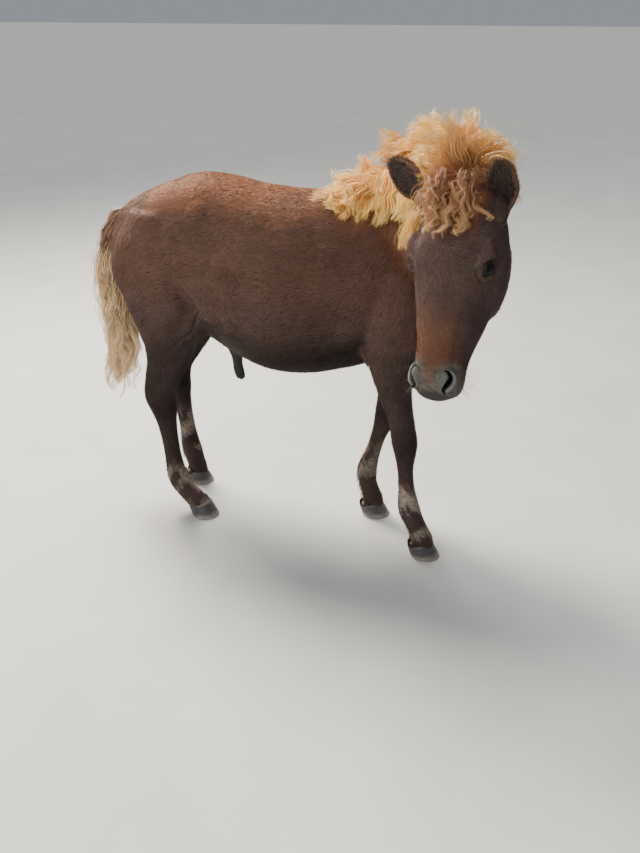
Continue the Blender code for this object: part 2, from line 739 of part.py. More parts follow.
def cut_mouth(skin):
    """The line of the mouth, a narrow groove round the muzzle from one corner to the other."""
    _, a, n, s = head_axes()
    route = [(0.310, -0.071), (0.337, -0.073), (0.362, -0.075), (0.384, -0.072), (0.404, -0.066)]
    half = 0.0009
    rings = []
    for down, out in smooth_rows(route, 8):
        p = head_point(down, out, 0)
        ring = [p + n * half - s * 0.07, p + n * half + s * 0.07,
                p - n * half + s * 0.07, p - n * half - s * 0.07]
        rings.append(np.array(ring))
    blade = loft("blade", rings)
    core = ball("core", head_point(0.342, -0.055, 0), (0.0405, 0.0500, 0.0400), (a, n, s), 10, 18)
    apply_modifier(blade, "BOOLEAN", operation="DIFFERENCE", solver="EXACT", object=core)
    remove(core)
    cut(skin, blade)


def sheath():
    """The colt's sheath: a short soft tube that hangs below the belly in front of the stifles."""
    rows = smooth_rows(
        [
            (-0.172, 0.0, 0.545, 0.024, 0.030),
            (-0.166, 0.0, 0.500, 0.023, 0.028),
            (-0.162, 0.0, 0.470, 0.016, 0.017),
            (-0.160, 0.0, 0.445, 0.0135, 0.0135),
            (-0.157, 0.0, 0.422, 0.0140, 0.0140),
            (-0.153, 0.0, 0.404, 0.0125, 0.0125),
            (-0.151, 0.0, 0.398, 0.0070, 0.0070),
        ],
        11,
    )
    rings = []
    for x, y, z, wide, long in rows:
        turn = np.linspace(0, 2 * math.pi, 12, endpoint=False)
        rings.append(np.array([x, y, z]) + np.outer(long * np.cos(turn), [1, 0, 0])
                     + np.outer(wide * np.sin(turn), [0, 1, 0]))
    return loft("sheath", rings)


# Tail dock: X, Z of its middle, radius. Y is 0
DOCK = [
    (-0.405, 0.815, 0.030),
    (-0.440, 0.815, 0.028),
    (-0.476, 0.793, 0.024),
    (-0.500, 0.755, 0.020),
    (-0.510, 0.710, 0.016),
    (-0.512, 0.660, 0.012),
    (-0.512, 0.615, 0.007),
]


def dock():
    rows = smooth_rows(DOCK, 14)
    way = np.gradient(rows[:, :2], axis=0)
    rings = []
    for (x, z, radius), (dx, dz) in zip(rows, way):
        above = unit(np.array([dz, 0, -dx])) * -1
        rings.append(oval((x, 0, z), (0, 1, 0), above, radius, radius, radius, 12, 2.0))
    return loft("tail", rings)


def outside(point, frames, margin):
    """The point, moved out of a body's oval sections where it is closer to them than the margin."""
    nearest, gap = None, 1e9
    for frame in frames:
        rel = point - frame[0]
        off = abs(np.dot(rel, np.cross(frame[1], frame[2])))
        if off < gap:
            nearest, gap = frame, off
    middle, aside, above, wide, rise, drop = nearest
    rel = point - middle
    u, v = np.dot(rel, aside), np.dot(rel, above)
    reach = (rise if v > 0 else drop) + margin
    depth = math.hypot(u / (wide + margin), v / reach)
    if gap > 0.02 or depth >= 1.0:
        return point
    push = 1.0 / max(depth, 0.3) - 1.0
    return point + aside * u * push + above * v * push


def clear_of_ears(point, margin):
    for side in (-1, 1):
        root, rise, _, _ = ear_axes(side)
        along = min(max(np.dot(point - root, rise), 0.0), EAR_LENGTH)
        away = point - root - rise * along
        near = np.linalg.norm(away)
        if near < margin:
            point = root + rise * along + away * (margin / max(near, 0.002))
    return point


def draped(root, start, end, length, steps, frames, wave):
    """A path that leaves its root one way, comes round to another and stays outside the flesh."""
    start, end = unit(start), unit(end)
    sideways = unit(np.cross(start, end) + 1e-6)
    points = [root]
    for k in range(1, steps + 1):
        t = k / steps
        way = unit(start * (1 - t) ** 1.4 + end * t)
        point = points[-1] + way * length / steps
        if k > 1:
            point = outside(point, frames, 0.004 + 0.008 * t)
            point = clear_of_ears(point, EAR_BERTH)
        points.append(point)
    swing = [wave[0] * t * math.sin(wave[1] + wave[2] * t) for t in np.linspace(0, 1, steps + 1)]
    return np.array([point + sideways * w for point, w in zip(points, swing)])


def mane_height(share):
    return float(np.interp(share, [row[0] for row in MANE_HEIGHT], [row[1] for row in MANE_HEIGHT]))


def mane_core():
    """The dense roots of the mane: a low ridge along the crest that the locks grow from."""
    frames = neck_frames(22)
    rings = []
    for k, (middle, aside, above, wide, rise, _) in enumerate(frames):
        share = k / (len(frames) - 1)
        rings.append(oval(middle + above * (rise - 0.01), aside, above, wide * 0.72,
                          0.01 + MANE_CORE * mane_height(share), 0.05, 14, 2.0))
    return loft("mane_core", rings)


def mane_paths():
    """Guides of the mane: rows of locks that rise from the crest, part and fall to both sides."""
    rng = np.random.default_rng(MANE_SEED)
    frames = neck_frames(40)
    keep_out = []
    for k, (middle, aside, above, wide, rise, drop) in enumerate(frames[::2]):
        ridge = MANE_CORE * mane_height(2 * k / (len(frames) - 1))
        keep_out.append((middle, aside, above, wide, rise + 0.6 * ridge, drop))
    keep_out += head_frames(14) + trunk_frames(12)
    down = np.array([0.0, 0.0, -1.0])
    paths = []
    for angle, length, share_of_height, fall, count in MANE_ROWS:
        leftward = max(0.0, math.sin(math.radians(angle)))
        span = MANE_END - MANE_LEFT_GAP * leftward - MANE_START
        for k in range(count):
            share = MANE_START + span * (k + 0.5 + rng.uniform(-0.3, 0.3)) / count
            share = max(share, 0.0)
            middle, aside, above, wide, rise, _ = frames[int(round(share * (len(frames) - 1)))]
            lean = math.radians(angle + rng.uniform(-10, 10))
            tall = mane_height(share)
            out = aside * math.sin(lean) + above * math.cos(lean)
            root = middle + above * (rise - 0.01) + aside * wide * 0.5 * math.sin(lean)
            root = root + above * MANE_CORE * 0.7 * tall * math.cos(lean)
            onward = np.cross(aside, above)
            side = 1.0 if lean > 0 else -1.0
            start = out + above * 0.55 + onward * rng.uniform(-0.3, 0.2)
            end = down * fall + aside * side * (0.25 + 0.35 * rng.uniform()) + above * (0.6 - 0.5 * fall)
            end = end + onward * (rng.uniform(-0.5, 0.2) - 0.7 * max(0.0, 1 - 5 * share))
            size = (length + share_of_height * tall) * rng.uniform(0.85, 1.15)
            size *= 1 - MANE_LEFT_TRIM * leftward * np.interp(share, (0.35, 0.75), (0.0, 1.0))
            size *= 1 - MANE_LOW_TRIM * min(fall, 1.0) * np.interp(share, (0.05, 0.36), (1.0, 0.0))
            wave = (0.014, rng.uniform(0, 6.28), rng.uniform(3, 6))
            paths.append((draped(root, start, end, size, LOCK_STEPS, keep_out, wave), aside))
    return paths


def forelock_paths():
    """Guides of the forelock: from between the ears up, forward and down over the forehead."""
    rng = np.random.default_rng(FORELOCK_SEED)
    _, a, n, s = head_axes()
    keep_out = head_frames(26)
    paths = []
    for down, aside, length, lift in FORELOCK_ROWS:
        for k in range(FORELOCK_ACROSS):
            place = (k + 0.5 + rng.uniform(-0.25, 0.25)) / FORELOCK_ACROSS * 2 - 1
            root = head_point(down, -0.010 - 0.028 * place * place, aside * place)
            start = -a * lift + n * 0.9 + s * place * 0.35
            end = a * 1.0 + n * 0.10 + s * (place * 0.22 + rng.uniform(-0.25, 0.25))
            size = length * rng.uniform(0.8, 1.15) * (1.0 - 0.22 * abs(place))
            wave = (0.010, rng.uniform(0, 6.28), rng.uniform(4, 7))
            paths.append((draped(root, start, end, size, LOCK_STEPS, keep_out, wave), s))
    return paths


def tail_paths():
    """Guides of the tail: from all round the dock, falling in long waves to staggered tips."""
    rng = np.random.default_rng(TAIL_SEED)
    dock_rows = smooth_rows(DOCK, 20)
    paths = []
    for k in range(TAIL_LOCKS):
        place = (k + 0.5) / TAIL_LOCKS
        x, z, radius = dock_rows[3 + int(place * 15)]
        angle = 2.4 * k + rng.uniform(-0.3, 0.3)
        round_x, round_y = math.cos(angle), math.sin(angle)
        tip = TAIL_TIP_LOW + TAIL_TIP_SPREAD * rng.uniform(0, 1) ** 1.5
        phase, points = rng.uniform(-0.5, 0.5), []
        for t in np.linspace(0, 1, TAIL_STEPS + 1):
            height = z + (tip - z) * t
            line_x, half_x, half_y = np.array(
                [np.interp(-height, [-row[0] for row in TAIL_LINE], [row[c] for row in TAIL_LINE])
                 for c in (1, 2, 3)]
            )
            spread = min(1.0, 0.15 + 2.2 * t) * (0.82 if k % 3 else 0.45)
            along = line_x if t > 0.12 else x + (line_x - x) * t / 0.12
            wave = TAIL_WAVE * t * math.sin(14 * (z - height) + phase + angle)
            points.append([along + round_x * half_x * spread + wave * round_y,
                           round_y * half_y * spread + wave * round_x, height])
        points[0] = [x + round_x * radius * 0.3, round_y * radius * 0.3, z]
        paths.append((np.array(points), np.array([-round_y, round_x, 0.0])))
    return paths


def lock(points, flat, width, thick):
    """A flat, tapered strip along a path, with a ridge on its outer face and a pointed tip."""
    ways = np.gradient(points, axis=0)
    count = len(points)
    rings = []
    for k, (point, way) in enumerate(zip(points, ways)):
        way = unit(way)
        across = unit(flat - way * np.dot(flat, way))
        out = np.cross(way, across)
        t = k / (count - 1)
        w = width / 2 * (0.75 + 0.25 * math.sin(math.pi * min(1.0, 1.6 * t))) * (1 - t**2.2)
        h = thick * (1 - 0.75 * t)
        rings.append(np.array([point - across * w - out * h * 0.3, point + out * h * 0.6,
                               point + across * w - out * h * 0.3]))
    return loft("lock", rings, tip=True)


def locks(paths, width, thick):
    rng = np.random.default_rng(len(paths))
    return [lock(points, flat, width * rng.uniform(0.8, 1.2), thick) for points, flat in paths]


def name_of(piece):
    """The node that a piece of flesh is, by where it lies."""
    points = np.array([v.co[:] for v in piece.data.vertices])
    low, middle = points[:, 2].min(), points.mean(axis=0)
    if low < 0.3:
        return ("fore" if middle[0] > 0 else "hind") + ("leg_right" if middle[1] < 0 else "leg_left")
    if middle[1] < -0.26:
        return "head"
    return "neck" if middle[0] > 0.29 else "torso"


def move_to_floor_centre(nodes):
    """Puts the origin on the floor under the middle of the whole animal."""
    points = np.vstack([np.array([v.co[:] for v in obj.data.vertices]) for obj in nodes])
    low, high = points.min(axis=0), points.max(axis=0)
    shift = Vector((-(low[0] + high[0]) / 2, -(low[1] + high[1]) / 2, -low[2]))
    for obj in nodes:
        obj.data.transform(Matrix.Translation(shift))


def main():
    clear_scene()
    flesh = whole_flesh()
    hooves = [hoof(name) for name in HOOVES]
    nodes = {}
    for level, faces in (("body", BODY_FACES), ("head", HEAD_FACES)):
        skin = thinned(flesh, level, faces)
        cut(skin, neck_cut())
        cut(skin, head_cut())
        if level == "body":
            for cutter in leg_cuts():
                cut(skin, cutter)
            for piece in hooves:
                cut(skin, grown(piece, GAP))
        for piece in split_loose(skin, level):
            name = name_of(piece)
            if (name == "head") != (level == "head") or len(piece.data.polygons) < 40:
                remove(piece)
                continue
            piece.name = name
            nodes[name] = piece
    remove(flesh)
    for piece in hooves:
        nodes[piece.name] = piece
    for side, word in ((-1, "right"), (1, "left")):
        nodes["eye_" + word] = eyeball("eye_" + word, side)
        add_lids(nodes["head"], side, nodes["eye_" + word])
        cut_nostril(nodes["head"], side)
        nodes["ear_" + word] = ear("ear_" + word, side)
    cut_mouth(nodes["head"])
    for obj in nodes.values():
        keep_largest(obj)
    for word in ("right", "left"):
        cut(nodes["ear_" + word], grown(nodes["head"], GAP))
    nodes["sheath"] = sheath()
    cut(nodes["sheath"], grown(nodes["torso"], GAP))
    nodes["tail"] = fuse(dock(), locks(tail_paths(), TAIL_LOCK_WIDTH, TAIL_LOCK_THICK))
    cut(nodes["tail"], grown(nodes["torso"], GAP))
    fuse(nodes["neck"], [mane_core(), *locks(mane_paths(), LOCK_WIDTH, LOCK_THICK)], "MANIFOLD")
    fuse(nodes["head"], locks(forelock_paths(), FORELOCK_WIDTH, FORELOCK_THICK), "MANIFOLD")
    for other in ("torso", "head", "ear_left", "ear_right"):
        cut(nodes["neck"], grown(nodes[other], GAP), "MANIFOLD")
    cut(nodes["neck"], copy_of(nodes["head"], "forelock"), "MANIFOLD")
    for obj in nodes.values():
        keep_largest(obj)
    coat = material("coat", (0.16, 0.055, 0.028), 0.75)
    hair = material("flaxen_hair", (0.62, 0.34, 0.15), 0.6)
    horn = material("hoof_horn", (0.10, 0.09, 0.085), 0.5)
    eye = material("eye", (0.01, 0.012, 0.02), 0.05)
    dark_skin = material("dark_skin", (0.03, 0.028, 0.03), 0.6)
    for name, obj in nodes.items():
        finish = coat
        if name.startswith("hoof"):
            finish = horn
        elif name.startswith("eye"):
            finish = eye
        elif name == "sheath":
            finish = dark_skin
        elif name == "tail":
            finish = hair
        obj.data.materials.clear()
        obj.data.materials.append(finish)
    move_to_floor_centre(list(nodes.values()))


main()
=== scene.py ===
"""The looks of a standing Shetland pony colt: one skin with its folds and lids, short coat, curly mane
and forelock, long tail, eyes, ears, hooves and whiskers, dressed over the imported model.

Metres, +X the way the trunk faces, +Y the pony's left, +Z up. Points are worked out in the body's own
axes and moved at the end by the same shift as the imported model.
"""

import json
import math

import bmesh
import bpy
import numpy as np
from mathutils import Matrix, Vector

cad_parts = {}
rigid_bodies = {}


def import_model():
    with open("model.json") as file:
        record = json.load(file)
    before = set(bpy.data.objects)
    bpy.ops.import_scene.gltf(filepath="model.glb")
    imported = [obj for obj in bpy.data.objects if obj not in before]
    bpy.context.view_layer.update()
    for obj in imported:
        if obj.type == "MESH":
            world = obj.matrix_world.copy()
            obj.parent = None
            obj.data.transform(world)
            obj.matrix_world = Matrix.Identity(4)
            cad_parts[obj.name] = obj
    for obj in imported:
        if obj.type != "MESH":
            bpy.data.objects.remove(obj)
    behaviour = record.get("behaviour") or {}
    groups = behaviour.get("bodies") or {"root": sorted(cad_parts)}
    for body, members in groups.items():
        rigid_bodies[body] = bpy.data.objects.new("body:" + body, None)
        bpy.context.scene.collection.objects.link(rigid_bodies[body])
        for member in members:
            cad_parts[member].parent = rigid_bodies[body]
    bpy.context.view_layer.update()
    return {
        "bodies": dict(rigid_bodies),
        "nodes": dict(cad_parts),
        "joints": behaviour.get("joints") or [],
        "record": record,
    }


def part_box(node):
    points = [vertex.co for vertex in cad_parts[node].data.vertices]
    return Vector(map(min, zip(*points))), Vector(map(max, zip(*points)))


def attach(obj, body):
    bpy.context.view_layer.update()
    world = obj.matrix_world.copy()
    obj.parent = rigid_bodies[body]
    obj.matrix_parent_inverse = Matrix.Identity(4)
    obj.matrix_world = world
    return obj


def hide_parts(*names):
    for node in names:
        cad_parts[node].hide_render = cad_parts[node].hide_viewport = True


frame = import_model()

# Flesh: the grain of the smoothed body, and how far the skin lies under the coat's outer face
VOXEL = 0.005
COAT_DEPTH, FACE_DEPTH, MUZZLE_DEPTH = 0.0034, 0.0016, 0.0006
BODY_SHARE = 0.42
TRUNK_SIDES, NECK_SIDES, HEAD_SIDES, LEG_SIDES, LEG_TOP = 40, 32, 36, 20, 0.52
# the ledge behind each hip, which is smoothed once more: wholly up to one distance, not past the other
HIP, HIP_NEAR, HIP_FAR = np.array([-0.345, 0.100, 0.845]), 0.040, 0.080
FLESH_PASSES, HIP_PASSES, HEAD_PASSES, FEATURE_PASSES = 14, 60, 3, 2

HOOVES = {
    "fore_right": (0.388, -0.078, -4.0),
    "fore_left": (0.212, 0.076, 3.0),
    "hind_right": (-0.246, -0.084, -6.0),
    "hind_left": (-0.342, 0.083, 6.0),
}

# Head pose and the places of its features, in head axes: down the face, out of it, to the pony's left
CROWN = Vector((0.440, -0.314, 0.985))
FACE_YAW, FACE_TILT, FACE_ROLL = math.radians(-109.0), math.radians(16.0), math.radians(3.5)
EYE_RADIUS = 0.0185
EYE_DOWN, EYE_OUT, EYE_ASIDE = 0.130, -0.028, 0.0700
SLIT_LONG, SLIT_TALL, LID_THICK = 0.0156, 0.0112, 0.0024
EAR_LEAN = {-1: -1.05, 1: -0.22}
EAR_DOWN = {-1: 0.008, 1: 0.024}
EAR_OUT = {-1: -0.024, 1: -0.050}
EAR_ASIDE = {-1: -0.086, 1: 0.079}
EAR_BERTH, EAR_LENGTH = 0.040, 0.085
WHORL = (0.098, 0.016, -0.004)
MOUTH_ROUTE = [(0.310, -0.071), (0.337, -0.073), (0.362, -0.075), (0.384, -0.072), (0.404, -0.066)]
NOSTRIL = (0.350, -0.022, 0.034)
# the nostril's slit from its curled top to its foot: down it, towards the pony's side, half its width
NOSTRIL_ROUTE = [
    (-0.0190, -0.0120, 0.0012), (-0.0185, -0.0050, 0.0024), (-0.0130, 0.0012, 0.0044),
    (-0.0050, 0.0012, 0.0056), (0.0035, -0.0008, 0.0050), (0.0130, -0.0014, 0.0032),
    (0.0190, 0.0010, 0.0022), (0.0205, 0.0080, 0.0012),
]

# Mane, forelock and tail guides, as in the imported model
MANE_HEIGHT = [
    (0.0, 0.040), (0.12, 0.064), (0.25, 0.092), (0.4, 0.106), (0.6, 0.109), (0.8, 0.110), (1.0, 0.104),
]
MANE_ROWS = [
    (-108, 0.070, 0.78, 1.5, 10),
    (104, 0.060, 0.72, 1.5, 8),
    (-68, 0.034, 0.80, 0.9, 9),
    (66, 0.034, 0.76, 0.9, 7),
    (-30, 0.026, 0.76, 0.35, 8),
    (30, 0.026, 0.76, 0.35, 7),
    (0, 0.026, 0.70, 0.0, 8),
]
MANE_START, MANE_END = -0.02, 0.98
# how much sooner the rows end that fall to the left, and how much shorter their locks are by the ear
MANE_LEFT_GAP, MANE_LEFT_TRIM = 0.22, 0.50
# how much shorter the hanging locks are at the withers
MANE_LOW_TRIM = 0.55
MANE_CORE = 0.48
MANE_SEED, FORELOCK_SEED, TAIL_SEED = 21, 12, 13
FORELOCK_ROWS = [(-0.004, 0.038, 0.150, 1.9), (0.012, 0.031, 0.125, 1.2), (0.026, 0.024, 0.100, 0.6)]
FORELOCK_ACROSS = 5
LOCK_STEPS = 5
TAIL_LINE = [
    (0.800, -0.480, 0.014, 0.014),
    (0.760, -0.500, 0.026, 0.030),
    (0.690, -0.514, 0.036, 0.040),
    (0.580, -0.508, 0.038, 0.044),
    (0.450, -0.492, 0.046, 0.046),
    (0.350, -0.518, 0.050, 0.040),
    (0.260, -0.545, 0.030, 0.022),
]
TAIL_LOCKS, TAIL_STEPS = 20, 6
TAIL_TIP_LOW, TAIL_TIP_SPREAD, TAIL_WAVE = 0.262, 0.26, 0.006


def metres(rows, lengths):
    """Rows in metres. So many of their first columns are lengths written in millimetres."""
    return [(*[value / 1000 for value in row[:lengths]], *row[lengths:]) for row in rows]


# Trunk: X, top, bottom, half width, height of the widest place, squareness
TRUNK = metres([
    (-486, 765, 690, 30, 728, 2.0), (-470, 815, 640, 66, 728, 2.0), (-435, 852, 590, 98, 722, 2.1),
    (-375, 884, 560, 125, 722, 2.1), (-300, 916, 545, 142, 724, 2.1), (-225, 934, 528, 149, 716, 2.1),
    (-155, 931, 492, 152, 696, 2.15), (-80, 916, 462, 163, 674, 2.2), (0, 910, 451, 172, 664, 2.2),
    (80, 912, 459, 168, 668, 2.15), (150, 919, 478, 153, 676, 2.05), (210, 916, 500, 140, 682, 2.0),
    (270, 890, 522, 130, 690, 2.0), (330, 845, 545, 119, 694, 2.0), (380, 790, 575, 98, 690, 2.0),
    (412, 742, 612, 68, 680, 2.0), (426, 706, 642, 34, 674, 2.0),
], 5)

# Neck: X, Y, Z of its middle, half width, reach to the crest, reach to the throat
NECK = metres([
    (205, 0, 745, 98, 158, 185), (270, -3, 783, 94, 154, 178), (335, -22, 826, 84, 146, 158),
    (395, -68, 862, 73, 134, 128), (436, -132, 888, 64, 116, 108), (452, -200, 903, 58, 100, 90),
    (450, -256, 905, 55, 86, 80), (446, -300, 901, 50, 74, 70),
], 6)

# Head, in head axes: down the face, top of the section, bottom, half width, widest place, squareness
HEAD = metres([
    (-26, -34, -92, 32, -62, 2.0), (-12, -14, -112, 58, -62, 2.0), (30, 4, -136, 76, -64, 2.1),
    (70, 14, -160, 85, -60, 2.2), (112, 17, -174, 89, -52, 2.3), (152, 12, -180, 82, -56, 2.3),
    (192, 4, -175, 75, -60, 2.2), (232, -2, -160, 67, -60, 2.2), (266, -5, -138, 60, -56, 2.2),
    (299, -6, -118, 54, -52, 2.2), (328, -6, -102, 50, -48, 2.3), (354, -9, -97, 52, -48, 2.4),
    (376, -18, -88, 45, -50, 2.4), (389, -32, -74, 28, -52, 2.2),
], 5)

# Legs: X, Y, Z of the middle, half length to the front, to the back, half width
LEGS = {
    "fore_right": metres([
        (285, -70, 770, 60, 85, 52), (300, -88, 690, 80, 88, 56), (292, -98, 610, 78, 75, 54),
        (285, -96, 540, 58, 60, 47), (292, -90, 480, 45, 48, 40), (304, -85, 420, 36, 40, 33),
        (314, -82, 370, 34, 34, 31), (320, -80, 325, 36, 33, 33), (324, -79, 290, 30, 28, 28),
        (328, -78, 250, 21, 24, 20), (333, -78, 200, 20, 24, 19), (339, -78, 160, 24, 29, 23),
        (345, -78, 130, 27, 31, 26), (358, -78, 100, 24, 28, 24), (372, -78, 72, 24, 27, 25),
        (382, -78, 45, 28, 29, 28), (386, -78, 20, 26, 26, 26),
    ], 6),
    "fore_left": metres([
        (285, 70, 770, 60, 85, 52), (300, 88, 690, 80, 88, 56), (285, 98, 610, 76, 74, 54),
        (268, 95, 540, 58, 60, 47), (258, 90, 480, 45, 48, 40), (248, 85, 420, 36, 40, 33),
        (240, 82, 370, 34, 34, 31), (234, 80, 325, 36, 33, 33), (226, 79, 290, 30, 28, 28),
        (216, 77, 250, 21, 24, 20), (203, 76, 200, 20, 24, 19), (192, 76, 160, 24, 29, 23),
        (187, 76, 132, 27, 31, 26), (190, 76, 102, 24, 28, 24), (198, 76, 74, 24, 27, 25),
        (206, 76, 46, 28, 29, 28), (210, 76, 20, 26, 26, 26),
    ], 6),
    "hind_right": metres([
        (-300, -70, 850, 85, 90, 45), (-312, -88, 770, 115, 125, 62), (-315, -96, 690, 122, 132, 62),
        (-308, -100, 620, 112, 112, 57), (-302, -98, 555, 90, 90, 51), (-308, -94, 495, 66, 72, 43),
        (-324, -90, 440, 50, 60, 35), (-340, -88, 390, 40, 56, 30), (-347, -87, 350, 40, 54, 30),
        (-343, -86, 310, 36, 40, 29), (-340, -85, 270, 28, 30, 24), (-335, -84, 220, 24, 26, 21),
        (-329, -84, 165, 23, 27, 21), (-323, -84, 122, 27, 31, 25), (-314, -84, 95, 29, 31, 27),
        (-294, -84, 68, 27, 29, 26), (-272, -84, 46, 27, 28, 28), (-256, -84, 24, 26, 26, 26),
    ], 6),
    "hind_left": metres([
        (-300, 70, 850, 85, 90, 45), (-312, 88, 770, 115, 125, 62), (-318, 96, 690, 122, 130, 62),
        (-316, 100, 620, 110, 110, 57), (-322, 98, 555, 88, 88, 51), (-338, 94, 495, 66, 70, 43),
        (-358, 90, 440, 50, 58, 35), (-380, 88, 390, 40, 54, 30), (-390, 87, 350, 40, 52, 30),
        (-387, 86, 310, 36, 40, 29), (-382, 85, 270, 28, 30, 24), (-376, 84, 220, 24, 26, 21),
        (-368, 83, 165, 23, 27, 21), (-363, 83, 125, 27, 31, 25), (-359, 83, 98, 29, 31, 27),
        (-352, 83, 70, 27, 29, 26), (-346, 83, 46, 27, 28, 28), (-343, 83, 24, 26, 26, 26),
    ], 6),
}

# Sheath: X, Z of its middle, half width, half length. Y is 0
SHEATH = metres([
    (-172, 545, 24, 30), (-166, 500, 23, 28), (-162, 470, 16, 17), (-160, 445, 13.5, 13.5),
    (-157, 422, 14, 14), (-153, 404, 12.5, 12.5), (-151, 398, 7, 7),
], 4)

# Tail dock: X, Z of its middle, radius. Y is 0
DOCK = metres([
    (-405, 815, 30), (-440, 815, 28), (-476, 793, 24), (-500, 755, 20),
    (-510, 710, 16), (-512, 660, 12), (-512, 615, 7),
], 3)


# Vectors and curves

def unit(vector):
    return vector / max(np.linalg.norm(vector), 1e-12)


def units(vectors):
    """Each row of an array at length one."""
    return vectors / np.maximum(np.linalg.norm(vectors, axis=-1, keepdims=True), 1e-12)


def ease(low, high, value):
    """0 below low, 1 above high, smooth between."""
    t = np.clip((value - low) / (high - low), 0, 1)
    return t * t * (3 - 2 * t)


def window(value, start, full, fade, end):
    """1 from full to fade, 0 outside start and end, smooth between."""
    return ease(start, full, value) * ease(end, fade, value)


def mound(distance, width):
    """1 at a distance of 0, falling away over the width."""
    return np.exp(-(distance / width) ** 2)


def smooth_rows(rows, count):
    """Rows of numbers read as a Catmull-Rom curve, sampled evenly in row number."""
    rows = np.array(rows, float)
    padded = np.vstack([2 * rows[0] - rows[1], rows, 2 * rows[-1] - rows[-2]])
    places = np.linspace(0, len(rows) - 1, count)
    first = np.minimum(places.astype(int), len(rows) - 2)
    t = (places - first)[:, None]
    p0, p1, p2, p3 = (padded[first + k] for k in range(4))
    return 0.5 * (
        2 * p1
        + (p2 - p0) * t
        + (2 * p0 - 5 * p1 + 4 * p2 - p3) * t**2
        + (3 * p1 - p0 - 3 * p2 + p3) * t**3
    )


def soft_noise(points, size, seed=0):
    """Smooth noise about 0 with features of that size, from a few crossed waves."""
    rng = np.random.default_rng(900 + seed)
    total = np.zeros(len(points))
    for _ in range(7):
        way = units(rng.normal(size=(1, 3)))[0] * (6.28 / size) * rng.uniform(0.6, 1.5)
        total += np.sin(points @ way + rng.uniform(0, 6.28))
    return total / 3.2


# Meshes

def in_scene(name, data):
    """A new object with that data, in the scene."""
    obj = bpy.data.objects.new(name, data)
    bpy.context.scene.collection.objects.link(obj)
    return obj


def mesh_object(name, points, faces):
    mesh = bpy.data.meshes.new(name)
    mesh.from_pydata([tuple(p) for p in points], [], faces)
    mesh.update()
    return in_scene(name, mesh)


def triangle_object(name, points, triangles):
    """A mesh from arrays of points and triangles."""
    mesh = bpy.data.meshes.new(name)
    mesh.vertices.add(len(points))
    mesh.vertices.foreach_set("co", np.asarray(points, np.float32).ravel())
    mesh.loops.add(triangles.size)
    mesh.loops.foreach_set("vertex_index", np.asarray(triangles, np.int32).ravel())
    mesh.polygons.add(len(triangles))
    mesh.polygons.foreach_set("loop_start", np.arange(0, triangles.size, 3, dtype=np.int32))
    mesh.polygons.foreach_set("use_smooth", np.ones(len(triangles), bool))
    mesh.update(calc_edges=True)
    return in_scene(name, mesh)


def point_values(obj, name, values):
    """A number for each point, which materials read by that name."""
    layer = obj.data.attributes.new(name, "FLOAT", "POINT")
    layer.data.foreach_set("value", np.asarray(values, np.float32))


def bake_map(obj, corners):
    """The bake map, one pair of numbers for each corner of each face."""
    layer = obj.data.uv_layers.new(name="OFBake")
    layer.data.foreach_set("uv", np.asarray(corners, np.float32).ravel())


def face_out(obj):
    shape = bmesh.new()
    shape.from_mesh(obj.data)
    bmesh.ops.triangulate(shape, faces=[f for f in shape.faces if len(f.verts) > 4])
    bmesh.ops.recalc_face_normals(shape, faces=shape.faces)
    shape.to_mesh(obj.data)
    shape.free()


def smooth_shaded(obj):
    obj.data.polygons.foreach_set("use_smooth", np.ones(len(obj.data.polygons), bool))


def circle(count):
    """Even angles round one turn."""
    return np.linspace(0, 2 * math.pi, count, endpoint=False)


def oval(centre, aside, above, half_width, rise, drop, sides, square=2.0):
    """A closed ring about centre: half_width to each side, rise above it and drop below it."""
    turn = circle(sides)
    c, s = np.cos(turn), np.sin(turn)
    power = 2.0 / square
    x = half_width * np.sign(c) * np.abs(c) ** power
    y = np.where(s > 0, rise, drop) * np.sign(s) * np.abs(s) ** power
    return np.array(centre) + np.outer(x, aside) + np.outer(y, above)


def loft(name, rings):
    """A closed, smoothly shaded body through rings of as many points each."""
    sides, top = len(rings[0]), (len(rings) - 1) * len(rings[0])
    faces = []
    for low in range(0, top, sides):
        high = low + sides
        for j in range(sides):
            k = (j + 1) % sides
            faces.append((low + j, low + k, high + k, high + j))
    faces.append(tuple(range(top, top + sides)))
    faces.append(tuple(reversed(range(sides))))
    obj = mesh_object(name, np.vstack(rings), faces)
    face_out(obj)
    smooth_shaded(obj)
    return obj


def ball(name, centre, radii, axes=None, rings=10, sides=16):
    """An ellipsoid with its radii along three axes."""
    shape = bmesh.new()
    bmesh.ops.create_uvsphere(shape, u_segments=sides, v_segments=rings, radius=1.0)
    turn = Matrix(axes).transposed() if axes is not None else Matrix.Identity(3)
    stretch = Matrix.Diagonal(Vector(radii))
    for v in shape.verts:
        v.co = Vector(centre) + turn @ (stretch @ v.co)
    mesh = bpy.data.meshes.new(name)
    shape.to_mesh(mesh)
    shape.free()
    obj = in_scene(name, mesh)
    face_out(obj)
    return obj


def apply_modifier(obj, kind, **settings):
    """Adds a modifier and applies it at once."""
    modifier = obj.modifiers.new(kind.title(), kind)
    for name, value in settings.items():
        setattr(modifier, name, value)
    graph = bpy.context.evaluated_depsgraph_get()
    mesh = bpy.data.meshes.new_from_object(obj.evaluated_get(graph))
    old = obj.data
    obj.modifiers.clear()
    obj.data = mesh
    mesh.name = obj.name
    bpy.data.meshes.remove(old)
    return obj


def join(objects, name):
    """Overlapping closed bodies in one mesh, ready for a voxel remesh."""
    points, faces, base = [], [], 0
    for obj in objects:
        points += [v.co[:] for v in obj.data.vertices]
        faces += [tuple(base + i for i in f.vertices) for f in obj.data.polygons]
        base += len(obj.data.vertices)
        bpy.data.objects.remove(obj, do_unlink=True)
    return mesh_object(name, points, faces)


